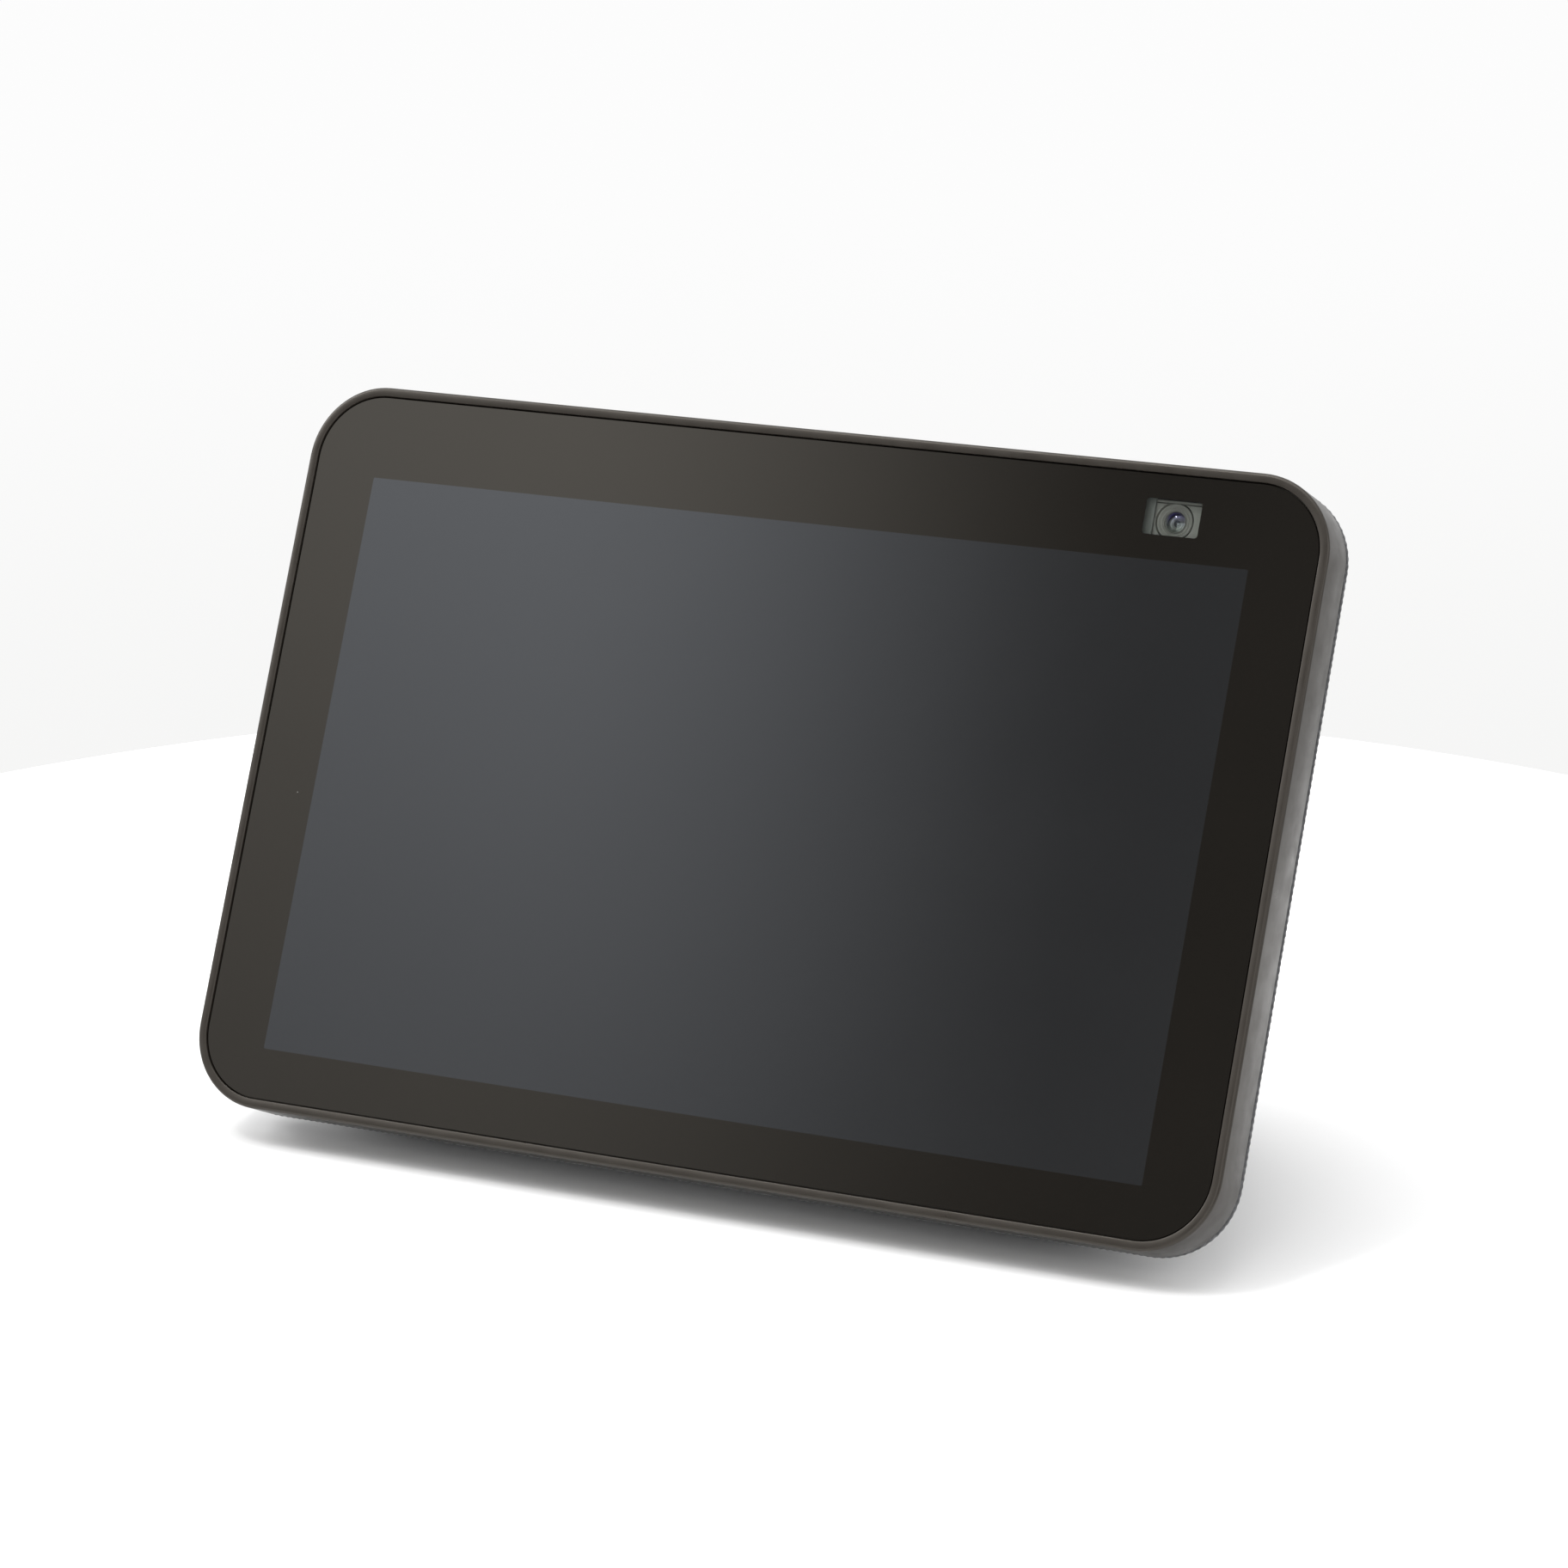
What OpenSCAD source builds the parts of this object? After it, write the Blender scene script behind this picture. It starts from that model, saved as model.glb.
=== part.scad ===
// Countertop smart display: a leaning touch screen slab on a fabric covered
// wedge body that holds the speakers. +Z is up and the screen faces -Y.
// The origin is on the table under the middle of the whole object.

/* [Screen slab] */
// Width of the slab
slab_w = 200.4; // [190:0.1:215]
// Height of the slab, measured along its lean
slab_h = 135.9; // [130:0.1:145]
// Depth of the slab's side wall
slab_t = 10.2; // [9.8:0.1:11]
// Corner radius of the slab
slab_r = 14.1; // [13:0.1:18]
// How far the slab leans back, in degrees
lean = 24.8; // [22:0.1:27]
// Thickness of the slab's plastic wall
wall_t = 1.7; // [1.5:0.1:2]
// Radius of the front edge
edge_r = 0.6; // [0.3:0.1:0.8]
// Gap between the glass and the frame
glass_gap = 0.25; // [0.15:0.05:0.4]
// Thickness of the cover glass
glass_t = 1.1; // [0.8:0.1:1.3]
// How far the glass is set back behind the frame's front edge
glass_set = 0.35; // [0.1:0.05:0.5]
// Width of the lit area
active_w = 172.2; // [160:0.1:178]
// Height of the lit area
active_h = 107.6; // [100:0.1:112]
// How far the lit area sits below the slab's middle
active_drop = 3; // [0:0.1:4]

/* [Camera] */
// Camera window, from the middle of the slab
camera_x = 70.7; // [60:0.1:74]
// Height of the camera window above the middle of the slab
camera_up = 58.5; // [57.5:0.1:59]
// Diameter of the camera's lens barrel
lens_d = 6.5; // [5:0.1:6.8]
// Travel of the shutter
shutter_travel = 9; // [8:0.1:9.5]

/* [Buttons] */
// Distance between the buttons on the top edge
button_gap = 19; // [16:0.5:24]
// Length of a button
button_len = 11.6; // [9:0.1:13]
// Width of a button
button_wid = 4; // [3:0.1:4.4]
// How far a button stands out
button_rise = 0.6; // [0.3:0.1:1]
// Distance of the inner microphones from the middle
mic_in = 33; // [31:1:36]
// Distance of the outer microphones from the middle
mic_out = 48; // [45:1:50]

/* [Rear body] */
// Width of the body where it meets the table
base_w = 160; // [156:1:170]
// Reach of the body's foot behind the slab's lower edge
base_reach = 84; // [82:1:90]
// How far the back bulges, which sets the overall depth
back_bulge = 104.4; // [103:0.1:108]
// Thickness of the knitted cover
fabric_t = 0.9; // [0.6:0.1:1.2]
// Thickness of the rear housing
housing_t = 2.2; // [1.8:0.1:2.4]
// Height of the rubber foot
foot_t = 2; // [1.5:0.1:3]

/* [Sound] */
// Outer radius of a speaker's frame
speaker_r = 23.8; // [23:0.1:24.2]
// Half the distance between the two speaker seats
speaker_x = 62; // [58:0.5:63]
// Travel of a speaker cone each way
cone_travel = 2; // [1:0.1:2.2]
// Width of the bass radiator's plate
radiator_w = 50; // [40:1:54]
// Height of the bass radiator's plate
radiator_h = 18; // [14:1:20]

/* [Hidden] */
$fn = 48;
small_fn = 24;
gap = 0.2;
body_angle = 90 - lean;
pivot_drop = 1.85;
pivot_z = foot_t;
slab_z0 = pivot_z + slab_t * sin(lean) + pivot_drop * cos(lean);
pivot_from_front = slab_t * cos(lean) - pivot_drop * sin(lean);
mid_z = slab_h / 2;
active_z = mid_z - active_drop;
camera_z = mid_z + camera_up;
lens_x = camera_x - 0.25;
lens_z = camera_z - 0.25;
lens_front = 2.5;
lens_back = 7.8;
lens_recess = 0.6;
lens_recess_r = 1.9;

// Depths inside the slab, counted from the frame's front edge
glass_back = glass_set + glass_t;
shelf_y = glass_back + 0.15;
shelf_t = 1.5;
shelf_w = 3.5;
panel_t = 1.7;
backlight_y = glass_back + panel_t + 0.05;
backlight_t = 2.2;
bracket_y = 5.5;
bracket_t = 1;
board_y = 8.4;
board_t = 1.6;
board_back = board_y + board_t;
shield_t = 2.4;
pad_t = 0.8;
spreader_y = board_back + shield_t + pad_t;
spreader_t = 1.4;
fin_t = 2.3;
panel_w = active_w + 8.6;
panel_h = active_h + 6.4;
panel_z = active_z - 0.8;
glass_w = slab_w - 2 * wall_t - 2 * glass_gap;
glass_h = slab_h - 2 * wall_t - 2 * glass_gap;
glass_r = slab_r - wall_t - glass_gap;
top_in = slab_h - wall_t;
side_in = slab_w / 2 - wall_t;

// The main board and what is on it
board_w = 116;
board_h = 64;
board_z = 62;
standoff_x = 52;
standoff_z = 26;
shield_w = 60;
shield_h = 40;
shield_wall = 0.3;
chip = [[-12, 66, 14, 14], [10, 68, 9, 12], [10, 52, 9, 12], [-14, 50, 8, 8]];
coil_x = [-46, -40, 40, 46];
coil_z = [56, 66];
chip_t = 1.2;
coil_t = 2;
spreader_w = 84;
spreader_h = 54;
spreader_leg_x = 38;
spreader_leg_z = 23.5;
fin_pitch = 9;
fin_w = 1;
flex_t = 0.2;
antenna_x = 77;
antenna_z = 112;

// Screws that hold the display bracket and the frame
bracket_screw_x = side_in - shelf_w / 2;
bracket_screw_z = [20, 68, 112];
frame_tab = [[-91.5, 34], [91.5, 34], [-91.5, 100], [91.5, 100], [-46, 5.4], [46, 5.4]];
tab_t = 2;

// The frame's bosses, tabs and openings
boss_half = 2;
tab_half = 3;
tab_side = 90;
key_clear = 0.3;
mic_hole_r = 0.6;
knob_recess = 0.7;
bracket_pilot_r = 0.85;
tab_hole_r = 1.25;

// The row of buttons
button_y = 5.6;
button_x = [-button_gap, 0, button_gap];
switch_board_z = 128.2;
switch_board_t = 1.2;
mic_x = [-mic_out, -mic_in, mic_in, mic_out];
switch_h = 1.6;
mic_t = 1.1;
plunger_top = switch_board_z + switch_board_t + switch_h + 0.2;
button_travel = 0.5;

// The shutter
knob_x = 61.5;
knob_len = 9.4;
knob_wid = 3.8;
blade_y = glass_back + 0.3;
blade_t = 0.4;
blade_w = 10.5;
stem_len = 5.2;
web_t = 0.7;
web_z = camera_z + 3.55;
blade_h = 8.4;
stem_t = 1.5;
stop_wid = 3.6;
rib_pitch = 1.3;
rib_w = 0.6;
window_w = 10.9;
window_h = 6.7;

// Outline of the body seen from the side, as a curve from the slab's top to the foot
top_reach = slab_h + pivot_drop - 0.75;
curve_top = top_reach * [cos(body_angle), sin(body_angle)];
curve_back = [74, 92];
curve_low = [back_bulge, 16];
curve_foot = [base_reach, 0];
base_near = 7;
top_near = 2.65;
corner_r = slab_r - 0.7;
foot_corner_x = 38;
foot_corner_y = 30;
near_corner = 8;
section_count = 18;
corner_steps = 8;

// The speaker box seen from the side: its front is parallel to the slab
lid_y = 7.6;
box_wall = 2;
box_front = lid_y + box_wall;
box_low = 6;
box_high = 68;
speaker_y = 52;
speaker_z = 35;
speaker_hole_r = 22;
radiator_z = 40;
box_back = 76.5;
coil_low = -16 - cone_travel;

// The sockets at the back
io_z = 9;
io_w = 40;
io_h = 11;
io_floor = 83;
io_floor_t = 1.2;
io_board_z = 3.4;
wire_z = 5.1;
jack_x = -10;
jack_z = io_z + 0.2;
usb_x = 10;
base_t = 2.2;
post = [[69, 18], [69, 44], [42, 71]];
post_r = 3.2;
post_h = 8;
post_side = 60;
web_h = 7;
io_stand = [64, 75];
io_stand_x = 20;

// Vents in the housing, in front of the drivers and the radiator
vent_half = 1.1;
side_vent_pitch = 5.4;
side_vent_reach = 19;
back_vent_pitch = 5;
back_vent_reach = 12;

// A driver's basket, magnet and fixing ears
ear_x = 25.6;
ear_r = 2.4;
ear_hole_r = 1.3;
flange_t = 1.6;
basket_r = 21.8;
basket_wall = 1.2;
basket_rim = -5;
basket_back = -13;
basket_back_r = 16;
magnet_r = 15;
pole_gap_in = 8.2;
pole_gap_out = 9.8;

screen_black = "#101214";
charcoal = "#4a4a4c";
knit = "#3a3b3e";
board_green = "#1d4a33";
steel = "#a9abae";
copper = "#b87840";

// ---------------------------------------------------------------- frames

// Slab frame: x across, y into the slab from its front edge, z up along its lean
module in_slab() {
    translate([0, slab_y0, slab_z0]) rotate([-lean, 0, 0]) children();
}

// Body frame: the slab's lower back edge, with z upright
module in_body() {
    translate([0, slab_y0 + pivot_from_front, pivot_z]) children();
}

// The slab frame, for a shape that is drawn in the body frame
module slab_in_body() {
    rotate([-lean, 0, 0]) translate([0, -slab_t, pivot_drop]) children();
}

// A point of the body frame, given up along the slab's back and behind it
function behind(up, back) =
    [up * cos(body_angle) + back * sin(body_angle), up * sin(body_angle) - back * cos(body_angle)];

// ---------------------------------------------------------------- shapes

module rounded(w, h, r) {
    square([w - 2 * r, h], center = true);
    square([w, h - 2 * r], center = true);
    for (sx = [-1, 1], sz = [-1, 1])
        translate([sx * (w / 2 - r), sz * (h / 2 - r)]) circle(r);
}

// A plate that stands in the x-z plane and runs from depth y0 to y1
module plate(y0, y1, x = 0, z = 0) {
    translate([x, y1, z]) rotate([90, 0, 0]) linear_extrude(y1 - y0) children();
}

module rod(r, y0, y1, x = 0, z = 0) {
    translate([x, y0, z]) rotate([-90, 0, 0]) cylinder(r = r, h = y1 - y0, $fn = small_fn);
}

module block(x0, x1, y0, y1, z0, z1) {
    translate([x0, y0, z0]) cube([x1 - x0, y1 - y0, z1 - z0]);
}

// Sweeps a profile around a rounded rectangle. The profile's x is the distance
// from the corner's centre and its y is the depth.
module around(w, h, r) {
    for (k = [0 : 3]) {
        out = k % 2 == 0 ? w / 2 - r : h / 2 - r;
        along = k % 2 == 0 ? h / 2 - r : w / 2 - r;
        rotate([0, 90 * k, 0]) {
            translate([out, 0, -along]) linear_extrude(2 * along) children();
            translate([out, 0, along]) rotate([-90, 0, 0]) rotate([0, 0, -90])
                rotate_extrude(angle = 90) children();
        }
    }
}

// ---------------------------------------------------------------- body form

function curve(t) =
    pow(1 - t, 3) * curve_top + 3 * pow(1 - t, 2) * t * curve_back
    + 3 * (1 - t) * t * t * curve_low + pow(t, 3) * curve_foot;
function curve_way(t) =
    3 * pow(1 - t, 2) * (curve_back - curve_top) + 6 * (1 - t) * t * (curve_low - curve_back)
    + 3 * t * t * (curve_foot - curve_low);

// How steeply the back crosses the ray from the pivot, which turns a wall's
// thickness into a change of reach
function crossing(p, way) = abs(p.x * way.y - p.y * way.x) / (norm(p) * norm(way));

// One slice of the body on the ray from the pivot, as [x, reach] points
function slice(share, reach, inset) =
    let (
        half = base_w / 2 + (slab_w / 2 - 0.8 - base_w / 2) * share * share - inset,
        near = base_near + (top_near - base_near) * share + inset,
        open = pow(1 - share, 0.6),
        rx = corner_r + foot_corner_x * open - inset,
        ry = corner_r + foot_corner_y * open - inset,
        rn = corner_r + near_corner * (1 - share) - inset,
        step = 90 / corner_steps
    ) concat(
        [for (i = [0 : corner_steps])
            [half - rx + rx * cos(i * step), reach - ry + ry * sin(i * step)]],
        [for (i = [corner_steps : -1 : 0])
            [-(half - rx + rx * cos(i * step)), reach - ry + ry * sin(i * step)]],
        [for (i = [0 : corner_steps])
            [-(half - rn + rn * cos(i * step)), near + rn - rn * sin(i * step)]],
        [for (i = [corner_steps : -1 : 0])
            [half - rn + rn * cos(i * step), near + rn - rn * sin(i * step)]]
    );

// The body's outer form, moved inwards by inset. past runs it beyond both of
// its open ends, in degrees.
function ray(t) = atan2(curve(t).y, curve(t).x);
function ring(t, angle, inset) =
    let (
        share = min(1, max(0, ray(t) / body_angle)),
        reach = norm(curve(t)) - inset / crossing(curve(t), curve_way(t))
    ) [for (p = slice(share, reach, inset)) [p.x, p.y * cos(angle), p.y * sin(angle)]];

module form(inset = 0, past = 0) {
    around_n = 4 * (corner_steps + 1);
    inner = [for (i = [0 : section_count])
        let (t = i / section_count) ring(t, ray(t), inset)];
    rings = past == 0 ? inner : concat(
        [ring(0, ray(0) + past, inset)], inner, [ring(1, ray(1) - past, inset)]);
    last = len(rings) - 1;
    polyhedron(
        points = [for (r = rings) each r],
        faces = concat(
            [[for (j = [around_n - 1 : -1 : 0]) j]],
            [for (i = [0 : last - 1], j = [0 : around_n - 1])
                let (a = i * around_n + j, b = i * around_n + (j + 1) % around_n)
                each [[a, b + around_n, a + around_n], [a, b, b + around_n]]],
            [[for (j = [0 : around_n - 1]) last * around_n + j]]
        )
    );
}

// The rounded front edge starts a little behind the slab frame's origin
front_start = edge_r * (cos(lean) + sin(lean) - 1);
back_end = pivot_from_front + max([for (i = [0 : 200]) curve(i / 200).x]);
slab_y0 = -(front_start + back_end) / 2;

module foot_outline(inset) {
    polygon(slice(0, base_reach - inset / crossing(curve(1), curve_way(1)), inset));
}

// The opening for the sockets
module port_opening(grow, y0, y1) {
    plate(y0, y1, 0, io_z) rounded(io_w + grow, io_h + grow, (io_h + grow) / 2 - 0.01);
}

// ---------------------------------------------------------------- screen slab

module frame_profile() {
    inner = slab_r - wall_t;
    translate([inner, 0]) square([wall_t - edge_r, slab_t]);
    translate([inner, edge_r]) square([wall_t, slab_t - edge_r]);
    translate([slab_r - edge_r, edge_r]) circle(edge_r);
    translate([inner - shelf_w, shelf_y]) square([shelf_w + wall_t / 2, shelf_t]);
}

module button_hole(x, grow) {
    translate([x, button_y, top_in - 1]) linear_extrude(wall_t + 2)
        rounded(button_len + grow, button_wid + grow, (button_wid + grow) / 2 - 0.01);
}

module bezel_frame() color(charcoal) in_slab() difference() {
    union() {
        translate([0, 0, mid_z]) around(slab_w, slab_h, slab_r) frame_profile();
        for (s = [-1, 1], z = bracket_screw_z)
            block(s * bracket_screw_x - shelf_w / 2, s * bracket_screw_x + shelf_w / 2,
                shelf_y + shelf_t, bracket_y, z - boss_half, z + boss_half);
        for (p = frame_tab) {
            side = abs(p.x) > tab_side;
            far = side ? sign(p.x) * (side_in + 0.5) : p.x + tab_half;
            near = side ? p.x - tab_half * sign(p.x) : p.x - tab_half;
            block(min(near, far), max(near, far), slab_t - tab_t, slab_t,
                side ? p.y - tab_half : wall_t / 2, p.y + tab_half);
        }
    }
    for (x = button_x) button_hole(x, key_clear);
    for (x = mic_x)
        translate([x, button_y, top_in - 1]) cylinder(r = mic_hole_r, h = 4, $fn = small_fn);
    translate([knob_x + shutter_travel / 2, button_y, slab_h - knob_recess]) linear_extrude(2)
        rounded(knob_len + shutter_travel + 0.8, knob_wid + 0.4, knob_wid / 2 + 0.19);
    block(knob_x - stem_len / 2 - key_clear, knob_x + stem_len / 2 + shutter_travel + key_clear,
        button_y - 1, button_y + 1, top_in - 1, slab_h);
    for (s = [-1, 1], z = bracket_screw_z)
        rod(bracket_pilot_r, shelf_y + 0.6, bracket_y + 1, s * bracket_screw_x, z);
    for (p = frame_tab) rod(tab_hole_r, slab_t - tab_t - 1, slab_t + 1, p.x, p.y);
}

module front_glass() color(screen_black) in_slab()
    plate(glass_set, glass_back, 0, mid_z) rounded(glass_w, glass_h, glass_r);

module glass_adhesive() color("#26282a") in_slab()
    plate(glass_back, shelf_y, 0, mid_z) difference() {
        rounded(glass_w - 1, glass_h - 1, glass_r - 0.5);
        rounded(glass_w - 6, glass_h - 5.2, glass_r - 3);
    }

module lcd_panel() color("#15181d") in_slab()
    plate(glass_back, glass_back + panel_t, 0, panel_z) square([panel_w, panel_h], center = true);

module backlight_unit() color("#d9dbdd") in_slab()
    plate(backlight_y, backlight_y + backlight_t, 0, panel_z)
        square([panel_w - 0.8, panel_h - 0.8], center = true);

module display_bracket() color(steel) in_slab() difference() {
    union() {
        plate(bracket_y, bracket_y + bracket_t, 0, 64) rounded(2 * side_in - 1, 112, 6);
        for (sx = [-1, 1], sz = [-1, 1])
            rod(2.6, bracket_y, board_y, sx * standoff_x, board_z + sz * standoff_z);
        for (s = [-1, 1], z = [16, 110])
            block(s * 38 - 22, s * 38 + 22, bracket_y + bracket_t, bracket_y + 2.2, z, z + 1.2);
    }
    for (s = [-1, 1], z = bracket_screw_z)
        rod(0.95, bracket_y - 1, bracket_y + 2, s * bracket_screw_x, z);
    for (sx = [-1, 1], sz = [-1, 1])
        rod(1, bracket_y - 1, board_y + 1, sx * standoff_x, board_z + sz * standoff_z);
    for (sx = [-1, 1], z = [30, 62, 94])
        plate(bracket_y - 1, bracket_y + 2, sx * 74, z) rounded(16, 20, 3);
}

module bracket_screws() color("#3b3d40") in_slab()
    for (s = [-1, 1], z = bracket_screw_z) {
        rod(0.8, shelf_y + 1.6, bracket_y + bracket_t + 0.2, s * bracket_screw_x, z);
        rod(1.6, bracket_y + bracket_t, bracket_y + bracket_t + 0.9, s * bracket_screw_x, z);
    }

module frame_screws() color("#3b3d40") in_slab()
    for (p = frame_tab) {
        rod(1.15, slab_t - tab_t - 0.2, slab_t + 4, p.x, p.y);
        rod(2, slab_t - tab_t - 0.8, slab_t - tab_t, p.x, p.y);
    }

module display_flex() color("#9a5b22") in_slab() {
    low = panel_z - panel_h / 2 - 0.5;
    behind_bracket = bracket_y + bracket_t + 0.9;
    fold_z = 28;
    block(-12, 12, glass_back + 0.4, behind_bracket, low, low + flex_t);
    block(-12, 12, behind_bracket - flex_t, behind_bracket, low, fold_z);
    block(-12, 12, behind_bracket - flex_t, board_back + flex_t, fold_z - flex_t, fold_z);
    block(-12, 12, board_back, board_back + flex_t, fold_z - flex_t, 36);
}

// ---------------------------------------------------------------- electronics

module main_board() color(board_green) in_slab() difference() {
    plate(board_y, board_back, 0, board_z) rounded(board_w, board_h, 2);
    for (sx = [-1, 1], sz = [-1, 1])
        rod(1.1, board_y - 1, board_back + 1, sx * standoff_x, board_z + sz * standoff_z);
}

module board_chips() color("#1b1c1e") in_slab() {
    for (c = chip)
        plate(board_back, board_back + chip_t, c[0], c[1]) square([c[2], c[3]], center = true);
    for (x = coil_x, z = coil_z)
        plate(board_back, board_back + coil_t, x, z) square([4, 4], center = true);
}

module board_shield() color("#c3c5c8") in_slab() difference() {
    plate(board_back, board_back + shield_t, 0, board_z - 2) rounded(shield_w, shield_h, 1);
    plate(board_back - 1, board_back + shield_t - shield_wall, 0, board_z - 2)
        rounded(shield_w - 2 * shield_wall, shield_h - 2 * shield_wall, 0.7);
}

module thermal_pad() color("#8aa6b8") in_slab()
    plate(spreader_y - pad_t, spreader_y, 0, board_z - 2) square([40, 26], center = true);

module heat_spreader() color("#b9bcc0") in_slab() {
    plate(spreader_y, spreader_y + spreader_t, 0, board_z - 2) rounded(spreader_w, spreader_h, 3);
    for (sx = [-1, 1], sz = [-1, 1])
        rod(2, board_back, spreader_y + 0.5, sx * spreader_leg_x, board_z - 2 + sz * spreader_leg_z);
    for (i = [-4 : 4])
        block(i * fin_pitch - fin_w / 2, i * fin_pitch + fin_w / 2, spreader_y + 1,
            spreader_y + spreader_t + fin_t, board_z - spreader_h / 2, board_z + spreader_h / 2 - 4);
}

module board_screws() color("#3b3d40") in_slab()
    for (sx = [-1, 1], sz = [-1, 1]) {
        rod(0.95, bracket_y + 1.2, board_back + 0.2, sx * standoff_x, board_z + sz * standoff_z);
        rod(2, board_back, board_back + 1.2, sx * standoff_x, board_z + sz * standoff_z);
    }

module wifi_antennas() color(copper) in_slab()
    for (s = [-1, 1])
        plate(board_y, board_y + 0.4, s * antenna_x, antenna_z) square([20, 9], center = true);

// ---------------------------------------------------------------- camera

module camera_holder() color("#2b2d30") in_slab() difference() {
    union() {
        plate(3.1, 7.9, lens_x - 0.2, camera_z - 0.55) rounded(12, 7.8, 0.6);
        plate(2.45, 3.2, camera_x, camera_z - 0.35) rounded(window_w - 0.3, window_h - 0.3, 0.7);
    }
    rod(lens_d / 2 + 0.1, 2, 9, lens_x, lens_z);
}

module camera_lens() color("#34373b") in_slab()
    translate([lens_x, 0, lens_z]) rotate([-90, 0, 0]) difference() {
        translate([0, 0, lens_front]) cylinder(d = lens_d, h = lens_back - lens_front);
        translate([0, 0, lens_front - 1]) cylinder(r = lens_recess_r, h = 1 + lens_recess);
    }

module camera_board() color(board_green) in_slab() {
    plate(8.6, 9.3, 70, 125.2) rounded(18, 8.6, 1);
    plate(7.9, 8.6, lens_x, lens_z - 0.2) square([6.6, 6.4], center = true);
}

module camera_flex() color("#9a5b22") in_slab() {
    fold_z = 84;
    block(62, 68, 9.3, 9.3 + flex_t, fold_z, 127);
    block(62, 68, 9.3, board_back + flex_t, fold_z - flex_t, fold_z);
    block(48, 68, board_back, board_back + flex_t, 78, fold_z);
}

module shutter_guide() color("#4b4e52") in_slab() difference() {
    plate(blade_y + blade_t + 0.15, 3.05, 66.4, camera_z - 0.4) rounded(24, 7.6, 0.8);
    plate(1, 4, camera_x, camera_z - 0.35) rounded(window_w, window_h, 0.8);
}

module shutter_slider() color("#d8d9da") in_slab() {
    x0 = knob_x - stem_len / 2;
    x1 = knob_x + stem_len / 2;
    plate(blade_y, blade_y + blade_t, knob_x + 0.05, camera_z) rounded(blade_w, blade_h, 0.6);
    block(x0, x1, blade_y, button_y + stem_t / 2, web_z, web_z + web_t);
    block(x0, x1, button_y - stem_t / 2, button_y + stem_t / 2, web_z, slab_h - 0.4);
    block(x0 - 1, x1 + 1, button_y - stop_wid / 2, button_y + stop_wid / 2,
        top_in - 0.8, top_in - gap);
    translate([knob_x, button_y, slab_h - 0.55]) linear_extrude(0.75)
        rounded(knob_len, knob_wid, knob_wid / 2 - 0.01);
    for (i = [-2 : 2])
        block(knob_x + i * rib_pitch - rib_w / 2, knob_x + i * rib_pitch + rib_w / 2,
            button_y - 1.3, button_y + 1.3, slab_h, slab_h + 0.45);
}

// ---------------------------------------------------------------- buttons

module button_cap(x) {
    translate([x, button_y, top_in - gap - 0.6]) linear_extrude(wall_t + gap + 0.6 + button_rise)
        rounded(button_len, button_wid, button_wid / 2 - 0.01);
    translate([x, button_y, top_in - gap - 0.8]) linear_extrude(0.8)
        rounded(button_len + 2, 4.8, 1.6);
    translate([x, button_y, plunger_top + button_travel + 0.05])
        cylinder(r = 1.1, h = top_in - gap - plunger_top - button_travel - 0.3, $fn = small_fn);
}

module mic_button() color("#2f3133") in_slab() button_cap(button_x[0]);
module volume_down_button() color("#2f3133") in_slab() button_cap(button_x[1]);
module volume_up_button() color("#2f3133") in_slab() button_cap(button_x[2]);

module button_board() color(board_green) in_slab()
    translate([0, button_y + 0.9, switch_board_z]) linear_extrude(switch_board_t)
        rounded(2 * mic_out + 8, 6.2, 1);

module button_switches() color("#c9cacc") in_slab()
    for (x = button_x) {
        block(x - 2.2, x + 2.2, button_y - 1.7, button_y + 1.7,
            switch_board_z + switch_board_t, switch_board_z + switch_board_t + switch_h);
        translate([x, button_y, plunger_top - 0.3]) cylinder(r = 0.8, h = 0.3, $fn = small_fn);
    }

module microphones() color("#c8b78a") in_slab()
    for (x = mic_x)
        block(x - 1.9, x + 1.9, button_y - 1.3, button_y + 1.3,
            switch_board_z + switch_board_t, switch_board_z + switch_board_t + mic_t);

module mic_seals() color("#1d1e20") in_slab()
    for (x = mic_x) translate([x, button_y, switch_board_z + switch_board_t + mic_t]) difference() {
        cylinder(r = 2, h = top_in - switch_board_z - switch_board_t - mic_t, $fn = small_fn);
        translate([0, 0, -1]) cylinder(r = mic_hole_r, h = 8, $fn = small_fn);
    }

module button_flex() color("#9a5b22") in_slab() {
    fold_z = 97;
    block(-8, 8, 9, 9 + flex_t, fold_z, switch_board_z);
    block(-8, 8, 9, board_back + flex_t, fold_z - flex_t, fold_z);
    block(-8, 8, board_back, board_back + flex_t, 88, fold_z);
}

// ---------------------------------------------------------------- rear body

module fabric_cover() color(knit) in_body() difference() {
    form();
    form(fabric_t, 6);
    port_opening(0.3, 70, 100);
}

// A post for a base screw, with a web to the housing's wall
module post_shape(p, s) {
    translate([s * p.x, p.y, base_t]) cylinder(r = post_r, h = post_h, $fn = small_fn);
    side = p.x > post_side;
    far = s * (p.x + (side ? 14 : 1));
    block(min(s * p.x, far), max(s * p.x, far), side ? p.y - 1 : p.y, side ? p.y + 1 : p.y + 20,
        base_t, base_t + web_h);
}

module housing_rim() {
    slab_in_body() difference() {
        plate(slab_t + 0.05, slab_t + 2, 0, mid_z) rounded(slab_w - 4, slab_h - 4, slab_r - 2);
        plate(slab_t - 1, slab_t + 3, 0, mid_z) rounded(slab_w - 22, slab_h - 18, 8);
    }
}

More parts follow.
